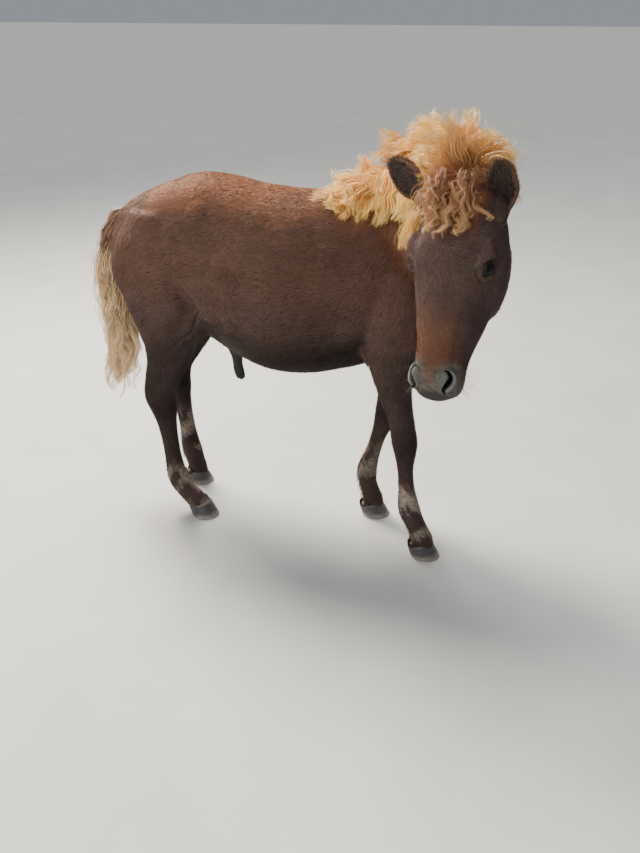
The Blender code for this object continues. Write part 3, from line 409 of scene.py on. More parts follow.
def read(items, name, each=1, kind=int):
    """The values of that name in a mesh's list of items, so many for each."""
    values = np.empty(len(items) * each, kind)
    items.foreach_get(name, values)
    return values if each == 1 else values.reshape(-1, each)


def points_of(obj):
    return read(obj.data.vertices, "co", 3, float)


def set_points(obj, points):
    obj.data.vertices.foreach_set("co", points.ravel())
    obj.data.update()


def normals_of(obj):
    return read(obj.data.vertex_normals, "vector", 3, np.float32).astype(float)


def even_out(obj, passes, share=None):
    """Smooths a mesh without shrinking it: each pass pulls the points in and pushes them back."""
    count = len(obj.data.vertices)
    points = points_of(obj)
    one, two = read(obj.data.edges, "vertices", 2).T
    links = np.bincount(one, minlength=count) + np.bincount(two, minlength=count)
    share = np.ones(count) if share is None else share
    for _ in range(passes):
        for pull in (0.60, -0.62):
            total = np.zeros_like(points)
            for k in range(3):
                total[:, k] = np.bincount(one, points[two, k], count)
                total[:, k] += np.bincount(two, points[one, k], count)
            points = points + pull * share[:, None] * (total / links[:, None] - points)
    set_points(obj, points)


# Where things are on the body

def head_axes():
    """Crown, and the directions down the face, out of the face and to the pony's left."""
    looks = np.array([math.cos(FACE_YAW), math.sin(FACE_YAW), 0.0])
    up = np.array([0.0, 0.0, 1.0])
    down_face = -math.cos(FACE_TILT) * up + math.sin(FACE_TILT) * looks
    out_face = math.cos(FACE_TILT) * looks + math.sin(FACE_TILT) * up
    to_left = np.cross(-down_face, out_face)
    down_leaning = math.cos(FACE_ROLL) * down_face + math.sin(FACE_ROLL) * to_left
    return np.array(CROWN), down_leaning, out_face, np.cross(-down_leaning, out_face)


HEAD_AT, DOWN_FACE, OUT_FACE, TO_LEFT = head_axes()


def head_point(down, out, aside):
    return HEAD_AT + DOWN_FACE * down + OUT_FACE * out + TO_LEFT * aside


# the middle of the ruddy hair, between the ears
POLL = head_point(-0.050, 0.020, 0.020)


def in_head(points):
    """Points in head axes: down the face, out of it and to the pony's left."""
    return (points - HEAD_AT) @ np.array([DOWN_FACE, OUT_FACE, TO_LEFT]).T


def eye_axes(side):
    """Where an eye looks, and the directions along its slit and up towards the upper lid."""
    look = unit(TO_LEFT * side * 0.86 + OUT_FACE * 0.48 + DOWN_FACE * 0.02)
    slit = unit(DOWN_FACE * 0.60 + OUT_FACE * 0.70)
    slit = unit(slit - look * np.dot(slit, look))
    across = np.cross(look, slit)
    return look, slit, across * np.sign(np.dot(across, OUT_FACE - DOWN_FACE))


def eye_centre(side):
    return head_point(EYE_DOWN, EYE_OUT, EYE_ASIDE * side)


def ear_axes(side):
    """An ear's root, and the directions up it, out of its opening and across it."""
    root = head_point(EAR_DOWN[side], EAR_OUT[side], EAR_ASIDE[side])
    rise = unit(-DOWN_FACE + TO_LEFT * EAR_LEAN[side] - OUT_FACE * 0.02)
    opening = unit(OUT_FACE * 0.94 + TO_LEFT * 0.34 * side)
    opening = unit(opening - rise * np.dot(opening, rise))
    return root, rise, opening, np.cross(rise, opening)


def trunk_frames(count):
    """The trunk's sections: middle, side, up, half width, rise, drop and squareness."""
    aside, above = np.array([0, 1, 0]), np.array([0, 0, 1])
    return [
        (np.array([x, 0, middle]), aside, above, wide, top - middle, middle - bottom, square)
        for x, top, bottom, wide, middle, square in smooth_rows(TRUNK, count)
    ]


def neck_frames(count):
    """The neck's sections, in the same form but without squareness."""
    rows = smooth_rows(NECK, count)
    along = np.gradient(rows[:, :3], axis=0)
    frames = []
    for row, way in zip(rows, along):
        way = unit(way)
        aside = unit(np.cross([0, 0, 1], way))
        above = np.cross(way, aside)
        frames.append((row[:3], aside, above, *row[3:]))
    return frames


def head_frames(count):
    """The head's sections, in the same form as the trunk's."""
    return [
        (head_point(down, middle, 0), TO_LEFT, OUT_FACE, wide, top - middle, middle - bottom, square)
        for down, top, bottom, wide, middle, square in smooth_rows(HEAD, count)
    ]


def leg_middle(name, height):
    """X and Y of a leg's middle at each height."""
    rows = np.array(LEGS[name])[::-1]
    return [np.interp(height, rows[:, 2], rows[:, c]) for c in (0, 1)]


def nearest_of(points, middles):
    """Which middle is nearest to each point, worked out in parts to spare memory."""
    return np.concatenate([
        np.argmin(np.linalg.norm(part[:, None, :] - middles, axis=2), axis=1)
        for part in np.array_split(points, len(points) // 40000 + 1)
    ])


def head_share(points):
    """1 on the head, 0 on the neck, smooth across the throat."""
    cut = unit(0.17 * OUT_FACE + 0.135 * DOWN_FACE)
    beyond = (points - head_point(0.060, -0.119, 0)) @ cut
    _, y, z = points.T
    return ease(-0.012, 0.012, beyond) * ease(-0.20, -0.24, y) * ease(0.45, 0.5, z)


def neck_share(points):
    """1 on the neck, 0 on the trunk."""
    cut = unit(np.array([0.80, -0.03, 0.60]))
    return ease(-0.03, 0.03, (points - np.array([0.285, -0.004, 0.775])) @ cut)


# Flesh

def through(name, frames, sides):
    """A body through its sections, each with so many sides."""
    return loft(name, [oval(*frame[:6], sides, *frame[6:]) for frame in frames])


def head_masses():
    """Brows, cheeks, cheekbones, nostrils, lips and chin that the smoothing blends into the head."""
    axes = (DOWN_FACE, OUT_FACE, TO_LEFT)
    masses = []
    for side in (-1, 1):
        masses += [
            ball("brow", head_point(0.108, -0.020, 0.070 * side), (0.036, 0.019, 0.024), axes),
            ball("cheek", head_point(0.140, -0.116, 0.046 * side), (0.094, 0.064, 0.030), axes),
            ball("cheekbone", head_point(0.180, -0.056, 0.058 * side), (0.062, 0.013, 0.014), axes),
            ball("nostril", head_point(0.350, -0.034, 0.034 * side), (0.030, 0.025, 0.021), axes),
            ball("ear_root", head_point(0.020, EAR_OUT[side] - 0.002, 0.067 * side),
                 (0.031, 0.024, 0.023), axes),
        ]
    masses.append(ball("upper_lip", head_point(0.375, -0.044, 0), (0.022, 0.030, 0.040), axes))
    masses.append(ball("chin", head_point(0.354, -0.092, 0), (0.032, 0.018, 0.029), axes))
    return masses


def body_masses():
    """Stifles, points of the hips, shoulders and breast that the smoothing blends in."""
    masses = []
    for side in (-1, 1):
        masses += [
            ball("stifle", (-0.236, 0.096 * side, 0.590), (0.052, 0.044, 0.064)),
            ball("hip", (-0.190, 0.078 * side, 0.836), (0.070, 0.048, 0.056)),
            ball("shoulder", (0.345, 0.076 * side, 0.690), (0.064, 0.046, 0.085)),
            ball("elbow", (0.236, 0.092 * side, 0.560), (0.032, 0.030, 0.038)),
        ]
    return masses


def leg(name):
    """A leg from inside the trunk down to inside its hoof, its sections level above the forearm."""
    rows = smooth_rows(LEGS[name], 54)
    along = np.gradient(rows[:, :3], axis=0)
    rings = []
    for row, way in zip(rows, along):
        front, back, wide = row[3:]
        way = unit(way) if row[2] < LEG_TOP else np.array([0, 0, -1.0])
        ahead = unit(np.cross(way, [0, 1, 0]))
        aside = np.cross(way, ahead)
        turn = circle(LEG_SIDES)
        reach = np.where(np.cos(turn) > 0, front, back) * np.cos(turn)
        rings.append(row[:3] + np.outer(reach, ahead) + np.outer(wide * np.sin(turn), aside))
    return loft(name, rings)


def mane_height(share):
    return float(np.interp(share, *np.array(MANE_HEIGHT).T))


def mane_bed():
    """The low ridge of dense roots that the mane's hair grows from."""
    frames = neck_frames(22)
    rings = []
    for k, (middle, aside, above, wide, rise, _) in enumerate(frames):
        tall = mane_height(k / (len(frames) - 1))
        centre = middle + above * (rise - 0.01)
        rings.append(oval(centre, aside, above, wide * 0.62, 0.01 + 0.34 * tall, 0.05, 18))
    return loft("mane_bed", rings)


def finer(obj, chosen):
    """Splits the faces whose points are all chosen into four."""
    shape = bmesh.new()
    shape.from_mesh(obj.data)
    shape.verts.ensure_lookup_table()
    edges = [e for e in shape.edges if chosen[e.verts[0].index] and chosen[e.verts[1].index]]
    bmesh.ops.subdivide_edges(shape, edges=edges, cuts=1, use_grid_fill=True)
    bmesh.ops.triangulate(shape, faces=[f for f in shape.faces if len(f.verts) > 4])
    shape.to_mesh(obj.data)
    shape.free()
    obj.data.update()


def near_features(points):
    """True round the eyes, the nostrils and the mouth."""
    eyes = np.minimum(*[np.linalg.norm(points - eye_centre(side), axis=1) for side in (-1, 1)]) < 0.036
    slits = np.minimum(*[nostril_place(points, side)[0] for side in (-1, 1)]) < 7
    gap, reach = mouth_gap(points)
    return eyes | slits | ((np.abs(gap) < 0.009) & (reach > 0.05))


def whole_skin():
    """The whole flesh as one smooth skin, finest round the eyes and muzzle."""
    pieces = [
        through("trunk", trunk_frames(44), TRUNK_SIDES), through("neck", neck_frames(26), NECK_SIDES),
        through("head", head_frames(40), HEAD_SIDES), mane_bed(), *head_masses(), *body_masses(),
    ]
    skin = join([*pieces, *map(leg, LEGS)], "skin")
    apply_modifier(skin, "REMESH", mode="VOXEL", voxel_size=VOXEL, adaptivity=0.0)
    even_out(skin, FLESH_PASSES)
    points = points_of(skin)
    from_hips = [np.linalg.norm(points - HIP * np.array([1, side, 1]), axis=1) for side in (-1, 1)]
    even_out(skin, HIP_PASSES, ease(HIP_FAR, HIP_NEAR, np.minimum(*from_hips)))
    points = points_of(skin)
    group = skin.vertex_groups.new(name="body")
    body = np.flatnonzero(head_share(points) < 0.02).tolist()
    group.add(body, 1.0, "REPLACE")
    share = 1 - (1 - BODY_SHARE) * len(body) / len(points)
    apply_modifier(skin, "DECIMATE", decimate_type="COLLAPSE", ratio=share, vertex_group="body")
    skin.vertex_groups.clear()
    finer(skin, head_share(points_of(skin)) > 0.5)
    even_out(skin, HEAD_PASSES, ease(0.3, 0.9, head_share(points_of(skin))))
    finer(skin, near_features(points_of(skin)))
    even_out(skin, FEATURE_PASSES, near_features(points_of(skin)).astype(float))
    return skin


# Folds and features of the skin

def almond(u, v):
    """How far out in the eye's opening a place is: 0 in the middle, 1 on its rim."""
    along = np.clip(1 - (u / SLIT_LONG) ** 2, 0.02, 1)
    tall = SLIT_TALL * along**0.75 * np.where(v > 0, 0.88, 1.04)
    return np.maximum(np.abs(v) / tall, np.abs(u) / SLIT_LONG)


def shape_eye(points, side):
    """Lids over the eyeball: an almond opening, a fold above it, a bag below and a drawn inner corner."""
    look, slit, up = eye_axes(side)
    centre = eye_centre(side)
    rel = points - centre
    u, v, w = rel @ slit, rel @ up, rel @ look
    away = np.hypot(u, v)
    near = (w > -0.004) & (away < 0.034)
    radius = EYE_RADIUS + LID_THICK
    ball_face = np.sqrt(np.maximum(radius**2 - away**2, 0))
    blend = ease(0.030, 0.0135, away)
    lid = w * (1 - blend) + np.maximum(ball_face, w * 0.4) * blend
    place = almond(u, v)
    edge = ease(1.16, 0.98, place)
    behind = np.sqrt(np.maximum((EYE_RADIUS - 0.0040) ** 2 - away**2, 0))
    fold_at = 0.0058 + SLIT_TALL * np.clip(1 - (u / 0.021) ** 2, 0, 1)
    upper = np.where(v > 0, 1.0, 0.0) * ease(0.026, 0.012, np.abs(u))
    lower = np.where(v < 0, 1.0, 0.0) * ease(0.024, 0.010, np.abs(u))
    # which lid and its side, how far past its fold, how high and how thick
    for here, way, beyond, high, thick in (
        (upper, 1, 0.0, -0.0024, 0.0018), (upper, 1, 0.0055, 0.0022, 0.0040),
        (lower, -1, 0.0010, -0.0015, 0.0017), (lower, -1, 0.0070, -0.0010, 0.0018),
    ):
        lid = lid + high * here * mound(way * v - fold_at - beyond, thick)
    lid = lid + 0.0008 * mound(place - 1.22, 0.13)
    lid = lid * (1 - edge) + behind * edge
    return points + np.outer(np.where(near, lid - w, 0.0), look)


def nostril_place(points, side):
    """How far out from the nostril's slit a place is, in widths of the slit, and the way into it."""
    into = unit(np.array([-0.28, -0.74, -0.62 * side]))
    tall = np.array([0.95, 0.22, -0.10 * side])
    tall = unit(tall - into * np.dot(tall, into))
    wide = np.cross(into, tall)
    wide = wide * np.sign(wide[2] * side)
    rel = in_head(points) - np.array(NOSTRIL) * (1, 1, side)
    u, v, w = rel @ tall, rel @ wide, rel @ into
    place = np.full(len(points), 9.0)
    for low, high, half in smooth_rows(NOSTRIL_ROUTE, 24):
        place = np.minimum(place, np.hypot(u - low, v - high) / half)
    place = np.where((np.abs(w) < 0.022) & (np.abs(u) < 0.05) & (np.abs(v) < 0.05), place, 9.0)
    return place, v, DOWN_FACE * into[0] + OUT_FACE * into[1] + TO_LEFT * into[2]


def shape_nostril(points, normals, side):
    """A comma-shaped hollow with a thin raised rim, and a soft fold of skin on its inner side."""
    place, v, way = nostril_place(points, side)
    sink = 0.015 * ease(1.05, 0.40, place)
    rim = 0.0024 * mound(place - 1.75, 0.50) * ease(-0.004, 0.002, v)
    fold = 0.0022 * mound(place - 2.2, 0.9) * ease(0.002, -0.004, v)
    return points + np.outer(sink, way) + normals * (rim + fold - 0.0012 * mound(place - 4.2, 0.9))[:, None]


def mouth_gap(points):
    """How far above or below the mouth's line a place is, and how much of the line reaches it."""
    down, out, _ = in_head(points).T
    return out - np.interp(down, *np.array(MOUTH_ROUTE).T), window(down, 0.306, 0.322, 0.40, 0.46)


def shape_mouth(points, normals):
    """A drawn-in mouth line with full lips, a chin groove and small wrinkles at the corners."""
    gap, reach = mouth_gap(points)
    down, _, aside = in_head(points).T
    depth = 0.0034 * mound(gap, 0.0015) - 0.0014 * mound(np.abs(gap) - 0.0055, 0.0035)
    moved = points - normals * (depth * reach)[:, None]
    corner = window(down, 0.285, 0.31, 0.325, 0.345) * mound(gap, 0.014)
    creases = 0.0007 * np.sin((down - gap * 0.7) * 900.0)
    moved = moved - normals * (corner * creases)[:, None]
    philtrum = mound(aside, 0.0030) * ease(0.352, 0.37, down) * (gap > 0)
    chin = mound(gap + 0.017, 0.0028) * ease(0.325, 0.35, down)
    return moved - normals * (0.0010 * philtrum + 0.0012 * chin)[:, None]


def shape_body(points, normals):
    """Soft folds and hollows: throat, elbow, stifle, flank, breast, tendons and the lie of the ribs."""
    x, y, z = points.T
    side = np.abs(y)
    head_there, neck_there = head_share(points), neck_share(points)
    _, out, _ = in_head(points).T
    lower = np.zeros(len(points))
    throat = mound(out + 0.155, 0.05) * (1 - head_there) * neck_there * ease(0.86, 0.80, z)
    lower += 0.0022 * throat * np.sin(out * 330 + 3 * soft_noise(points, 0.09, 1))
    elbow = mound(x - 0.216 - 0.30 * (z - 0.56), 0.013) * window(z, 0.50, 0.55, 0.60, 0.70)
    lower += 0.0055 * elbow * ease(0.06, 0.10, side)
    shoulder = mound(x - 0.235 - 0.45 * (z - 0.66), 0.02) * window(z, 0.60, 0.68, 0.78, 0.86)
    lower += 0.0022 * shoulder * ease(0.05, 0.10, side)
    stifle = mound(x + 0.180 + 0.55 * (z - 0.60), 0.016) * window(z, 0.53, 0.56, 0.62, 0.74)
    lower += 0.0050 * stifle * ease(0.06, 0.10, side)
    flank = np.exp(-(((x + 0.13) / 0.045) ** 2) - ((z - 0.78) / 0.06) ** 2)
    lower += 0.0065 * flank * ease(0.06, 0.12, side)
    buttock = mound(x + 0.41 - 0.25 * (z - 0.65), 0.018) * window(z, 0.50, 0.58, 0.70, 0.80)
    lower += 0.0030 * buttock * ease(0.05, 0.09, side)
    breast = mound(y, 0.012) * ease(0.33, 0.37, x) * window(z, 0.50, 0.56, 0.70, 0.76)
    lower += 0.0070 * breast
    ribs = window(x, -0.10, -0.02, 0.15, 0.21) * window(z, 0.53, 0.60, 0.74, 0.82)
    lower += 0.0006 * ribs * np.sin(x * 165 + z * 40)
    tendon = window(z, 0.10, 0.15, 0.27, 0.30)
    for name in LEGS:
        middle_x, middle_y = leg_middle(name, z)
        near = (np.abs(x - middle_x) < 0.045) & (np.abs(y - middle_y) < 0.04)
        lower += 0.0020 * tendon * near * mound(x - middle_x + 0.010, 0.0045)
    lumps = 0.0011 * soft_noise(points, 0.10, 2) * (1 - 0.8 * head_there)
    lower += lumps * ease(0.40, 0.55, z)
    return points - normals * lower[:, None]


def shape_face(points, normals):
    """Hollows above the eyes, along the cheekbone, the cheek's edge and the nose."""
    down, out, aside = in_head(points).T
    side = np.abs(aside)
    there = head_share(points)
    over_eye = mound(down - 0.085, 0.016) * mound(side - 0.066, 0.013) * ease(-0.03, 0.0, out)
    cheekbone = mound(out + 0.078 + 0.10 * (down - 0.18), 0.008) * window(down, 0.15, 0.18, 0.23, 0.27)
    nose = mound(out + 0.020, 0.010) * window(down, 0.20, 0.24, 0.30, 0.33)
    lower = 0.0040 * over_eye + 0.0032 * cheekbone + 0.0030 * nose * ease(0.03, 0.045, side)
    lower += 0.0018 * mound(aside, 0.010) * ease(0.33, 0.36, down) * ease(-0.03, -0.01, out)
    lower += 0.0010 * mound(down - 0.232 - 0.35 * (out + 0.12), 0.012) * ease(-0.07, -0.10, out)
    lower += 0.0009 * soft_noise(points, 0.030, 4) * ease(0.28, 0.33, down)
    return points - normals * (lower * there)[:, None]


def skin_depth(points):
    """How far the skin lies under the coat's outer face."""
    down, there = in_head(points)[:, 0], head_share(points)
    feet = ease(0.40, 0.10, points[:, 2])
    face = FACE_DEPTH + (MUZZLE_DEPTH - FACE_DEPTH) * ease(0.28, 0.36, down)
    return (COAT_DEPTH * (1 - 0.55 * feet)) * (1 - there) + face * there


def shape_skin(skin):
    """Draws the skin in under its coat, then gives it its folds and features."""
    points, normals = points_of(skin), normals_of(skin)
    points = points - normals * skin_depth(points)[:, None]
    points = shape_body(points, normals)
    points = shape_face(points, normals)
    for side in (-1, 1):
        points = shape_eye(points, side)
    points = shape_mouth(points, normals)
    for side in (-1, 1):
        points = shape_nostril(points, normals, side)
    set_points(skin, points)


# Markings, and painted light and shade

def mane_line(points):
    """1 on the crest that the mane grows from, at the poll too."""
    best = np.full(len(points), 9.0)
    height = np.full(len(points), -1.0)
    for middle, aside, above, wide, rise, _ in neck_frames(30):
        rel = points - middle
        gap = np.abs(rel @ np.cross(above, aside))
        closer = (gap < best) & (np.linalg.norm(rel, axis=1) < 0.25)
        best = np.where(closer, gap, best)
        height = np.where(closer, (rel @ above) / rise - 0.5 * np.abs(rel @ aside) / wide, height)
    down, out, aside = in_head(points).T
    poll = ease(0.045, 0.025, down) * ease(0.050, 0.036, np.abs(aside)) * ease(-0.035, -0.015, out)
    return np.maximum(ease(0.80, 0.98, height) * (best < 0.03), poll)


def markings_and_painted_light(points, normals):
    """Where the coat is reddish and painted lighter where light falls, mealy, cream, dark and painted with
    shade on the belly and legs, or flaxen, and where skin is bare, pale at the nostril's rim with a painted
    highlight, or near black with painted shade in the nostrils and the mouth's line and dark on the lips.
    """
    x, y, z = points.T
    down, out, aside = in_head(points).T
    side = np.abs(aside)
    there = head_share(points)
    wander = soft_noise(points, 0.11, 5)
    fine = soft_noise(points, 0.016, 6)
    # painted light over a reddish coat tone: lighter on the topline and on surfaces that face up, on the
    # upper neck and body, on the crown and on the lit side of the nose
    bronze_and_painted_light = ease(0.80, 0.93, z + 0.018 * wander) * (1 - there) * ease(0.10, 0.9, normals[:, 2] + 0.25)
    bronze_and_painted_light = np.maximum(bronze_and_painted_light, 0.75 * neck_share(points) * (1 - there) * ease(0.78, 0.92, z))
    crown = 0.85 * ease(0.10, 0.02, down) * ease(0.062, 0.045, side)
    bronze_and_painted_light = np.maximum(bronze_and_painted_light, there * (crown + 0.50 * ease(0.17, 0.29, down) * ease(0.055, 0.030, aside)))
    bronze_and_painted_light = np.maximum(bronze_and_painted_light, 0.22 * ease(0.60, 0.74, z + 0.02 * wander) * (1 - there))
    bronze_and_painted_light = np.maximum(bronze_and_painted_light, 0.62 * neck_share(points) * (1 - there) * ease(0.60, 0.86, z + 0.03 * wander))
    bridge = mound(aside, 0.020) * ease(-0.045, -0.020, out) * ease(0.368, 0.344, down)
    mealy = there * ease(0.298, 0.372, down + 0.007 * wander + 0.006 * fine) * (1 - 0.65 * bridge)
    bare, rim, recess_shade_and_lips = np.zeros((3, len(points)))
    for s in (-1, 1):
        slit, sideways, _ = nostril_place(points, s)
        bare = np.maximum(bare, there * ease(4.8, 2.4, slit))
        # the nostril's rim painted pale: partly the skin's own tone, partly a painted highlight
        rim = np.maximum(rim, 0.8 * there * mound(slit - 1.75, 0.5) * ease(-0.006, 0.002, sideways))
        # painted shade inside the nostril's slit
        recess_shade_and_lips = np.maximum(recess_shade_and_lips, there * ease(1.15, 0.75, slit))
        mealy = np.maximum(mealy, there * ease(8.0, 3.5, slit))
    mealy = np.maximum(mealy, 0.55 * there * mound(out + 0.10, 0.03) * ease(0.25, 0.33, down))
    groin = np.exp(-(((x + 0.15) / 0.07) ** 2) - ((z - 0.53) / 0.035) ** 2)
    mealy = np.maximum(mealy, 0.35 * groin)
    cream = np.zeros(len(points))
    for name, low, high, amount in (
        ("fore_right", 0.135, 0.205, 0.80), ("hind_right", 0.085, 0.150, 0.55),
        ("fore_left", 0.110, 0.235, 0.42), ("hind_left", 0.110, 0.250, 0.46),
        ("fore_right", 0.050, 0.098, 0.50), ("hind_right", 0.040, 0.070, 0.45),
    ):
        middle_x, middle_y = leg_middle(name, z)
        near = (np.abs(x - middle_x) < 0.06) & (np.abs(y - middle_y) < 0.05)
        edge = 0.014 * wander + 0.010 * fine
        band = ease(low - 0.012, low + 0.014, z + edge) * ease(high + 0.02, high - 0.018, z + edge)
        patchy = ease(-0.35, 0.55, soft_noise(points, 0.045, 7) + 0.4 * fine + (amount - 0.55))
        cream = np.maximum(cream, amount * band * near * patchy)
    knees = mound(z - 0.325, 0.045) * (z < 0.45)
    feet = ease(0.110, 0.060, z)
    # painted shade down the legs below the body, stronger on the hind legs than on the fore
    painted_leg_shade = (0.72 - 0.30 * ease(0.0, 0.2, x)) * ease(0.66, 0.50, z) * (0.35 + 0.65 * ease(0.08, 0.20, z))
    dark = 0.25 * knees + 0.10 * feet + painted_leg_shade * (1 - there)
    for s in (-1, 1):
        look, slit, up = eye_axes(s)
        rel = points - eye_centre(s)
        away = np.linalg.norm(rel, axis=1)
        dark = np.maximum(dark, 0.6 * ease(0.023, 0.016, away) * there)
        for height, thick in ((0.0215, 0.0045), (-0.0150, 0.0030)):
            fold = mound(rel @ up - height, thick) * ease(0.024, 0.010, np.abs(rel @ slit)) * (rel @ look > 0)
            mealy = np.maximum(mealy, 0.75 * fold * there)
    # painted shade under the belly, on surfaces that face down; the dark mask is lifted where light is
    # painted
    belly = ease(-0.05, -0.55, normals[:, 2]) * ease(0.66, 0.56, z)
    dark = np.maximum(dark, 0.10 + 0.90 * belly * (1 - there)) * (1 - bronze_and_painted_light * 0.8)
    gap, reach = mouth_gap(points)
    # painted shade along the mouth's line
    recess_shade_and_lips = np.maximum(recess_shade_and_lips, there * reach * mound(gap, 0.0022) * (down > 0.30))
    lips = there * ease(0.367, 0.379, down + 0.003 * fine) * ease(0.082, 0.062, gap)
    bare, recess_shade_and_lips = np.maximum(bare, lips), np.maximum(recess_shade_and_lips, 0.58 * lips)
    marks = {"bronze_and_painted_light": bronze_and_painted_light, "mealy": mealy, "cream": cream, "dark": dark, "bare": bare, "rim": rim,
             "recess_shade_and_lips": recess_shade_and_lips, "flaxen": mane_line(points)}
    return {name: np.clip(value, 0, 1) for name, value in marks.items()}


# The skin's own unwrap: trunk, neck, head and each leg rolled out flat, side by side

CHARTS = {
    "trunk": (0.01, 0.44, 0.60, 0.54), "neck": (0.64, 0.70, 0.33, 0.28), "head": (0.64, 0.34, 0.33, 0.33),
    "fore_right": (0.01, 0.02, 0.13, 0.38), "fore_left": (0.17, 0.02, 0.13, 0.38),
    "hind_right": (0.33, 0.02, 0.13, 0.38), "hind_left": (0.49, 0.02, 0.13, 0.38),
}


def chart_of(points):
    """Which chart a place is on, as a number in the order of CHARTS."""
    x, y, z = points.T
    chart = np.where(neck_share(points) > 0.5, 1, 0)
    chart = np.where(head_share(points) > 0.5, 2, chart)
    low = (z < 0.50) & (chart != 2)
    leg_of = np.where(x > 0.0, np.where(y < 0, 3, 4), np.where(y < 0, 5, 6))
    belly = (np.abs(x) < 0.19) & (z > 0.43)
    return np.where(low & ~belly, leg_of, chart)


def rolled(points, chart):
    """Turn round the chart's middle line, 0 to 1, and place along it, 0 to 1."""
    turn, along = np.zeros(len(points)), np.zeros(len(points))
    x, y, z = points.T
    on = chart == 0
    turn[on], along[on] = np.arctan2(y[on], z[on] - 0.69), (x[on] + 0.50) / 0.94
    on = chart == 1
    if on.any():
        frames = neck_frames(40)
        middles = np.array([f[0] for f in frames])
        nearest = nearest_of(points[on], middles)
        rel = points[on] - middles[nearest]
        sides = np.array([f[1] for f in frames])[nearest]
        ups = np.array([f[2] for f in frames])[nearest]
        step = np.linalg.norm(np.diff(middles, axis=0), axis=1).mean()
        onward = np.einsum("ij,ij->i", rel, np.cross(ups, sides)) * -1
        turn[on] = np.arctan2(np.einsum("ij,ij->i", rel, sides), np.einsum("ij,ij->i", rel, ups))
        along[on] = np.clip((nearest + np.clip(onward / step, -2, 2)) / 39, 0, 1)
    on = chart == 2
    down, out, aside = in_head(points[on]).T
    turn[on], along[on] = np.arctan2(aside, out + 0.055), np.clip((down + 0.10) / 0.52, 0, 1)
    for k, name in enumerate(LEGS):
        on = chart == 3 + k
        middle_x, middle_y = leg_middle(name, z[on])
        turn[on] = np.arctan2(y[on] - middle_y, x[on] - middle_x)
        along[on] = z[on] / LEG_TOP
    return turn / (2 * math.pi) + 0.5, along


def chart_place(turn, along, chart):
    boxes = np.array(list(CHARTS.values()))[chart]
    u = boxes[:, 0] + boxes[:, 2] * turn / 1.06
    return np.stack([u, boxes[:, 1] + boxes[:, 3] * np.clip(along, 0, 1)], 1)


def unwrapped_place(points):
    """Where on the bake map hair goes that grows from those points."""
    chart = chart_of(points)
    turn, along = rolled(points, chart)
    return chart_place(np.clip(turn, 0, 1), along, chart)


def unwrap_skin(skin):
    """Gives the skin its bake map, each face whole on one chart."""
    mesh = skin.data
    sizes, corners = read(mesh.polygons, "loop_total"), read(mesh.loops, "vertex_index")
    points = points_of(skin)
    face = np.repeat(np.arange(len(sizes)), sizes)
    middle = np.stack([np.bincount(face, points[corners, k]) for k in range(3)], 1) / sizes[:, None]
    chart = chart_of(middle)[face]
    turn, along = rolled(points[corners], chart)
    first = np.zeros(len(sizes))
    first[face[::-1]] = turn[::-1]
    turn = np.where(turn - first[face] < -0.5, turn + 1, np.where(turn - first[face] > 0.5, turn - 1, turn))
    low = np.full(len(sizes), 9.0)
    np.minimum.at(low, face, turn)
    turn = turn + (low[face] < -0.001)
    bake_map(skin, chart_place(turn, along, chart))


# The lie of the coat

def lie_of_coat(points, normals):
    """The way the coat lies at each place, along the skin."""
    x, y, z = points.T
    head_there, neck_there = head_share(points), neck_share(points)
    outward = np.sign(y)
    rump = ease(-0.25, -0.45, x)
    shoulder = ease(0.14, 0.30, x)
    legs = ease(0.62, 0.48, z)
    ahead = -1.0 + 0.5 * rump + 0.45 * shoulder
    body = np.stack([ahead, 0.1 * outward, -0.30 - 0.9 * rump - 0.75 * shoulder], 1)
    whorl = np.stack([x + 0.135, 0 * x, z - 0.70], 1)
    away = np.linalg.norm(whorl, axis=1, keepdims=True)
    swirl = np.stack([whorl[:, 0] - 0.8 * whorl[:, 2], 0 * x, whorl[:, 2] + 0.8 * whorl[:, 0]], 1)
    swirl_there = (mound(away, 0.075) * 0.95) * (np.abs(y) > 0.05)[:, None]
    body = body * (1 - swirl_there) + units(swirl) * swirl_there
    down_leg = np.stack([-0.18 + 0 * x, 0 * x, -1 + 0 * z], 1)
    way = body * (1 - legs)[:, None] + down_leg * legs[:, None]
    frames = neck_frames(24)
    middles = np.array([f[0] for f in frames])
    onward = units(np.gradient(middles, axis=0))
    down_neck = -0.75 * onward[nearest_of(points, middles)] + np.array([0, 0, -0.75])
    way = way * (1 - neck_there)[:, None] + down_neck * neck_there[:, None]
    down, out, aside = in_head(points).T
    rel_down, rel_aside = down - WHORL[0], aside - WHORL[2]
    spread = np.hypot(rel_down, rel_aside) + 1e-6
    from_whorl = np.outer(rel_down / spread, DOWN_FACE) + np.outer(rel_aside / spread, TO_LEFT)
    cheek = ease(-0.01, -0.07, out)
    back = np.outer(cheek, -OUT_FACE * 0.55 + DOWN_FACE * 0.5)
    near_whorl = ease(0.16, 0.05, spread)[:, None]
    face = from_whorl * near_whorl + DOWN_FACE * (1 - near_whorl) + back
    way = way * (1 - head_there)[:, None] + face * head_there[:, None]
    turn = 0.32 * soft_noise(points, 0.07, 8) + 0.16 * soft_noise(points, 0.022, 9)
    way = units(way - normals * np.einsum("ij,ij->i", way, normals)[:, None])
    sideways = np.cross(normals, way)
    return units(way * np.cos(turn)[:, None] + sideways * np.sin(turn)[:, None])


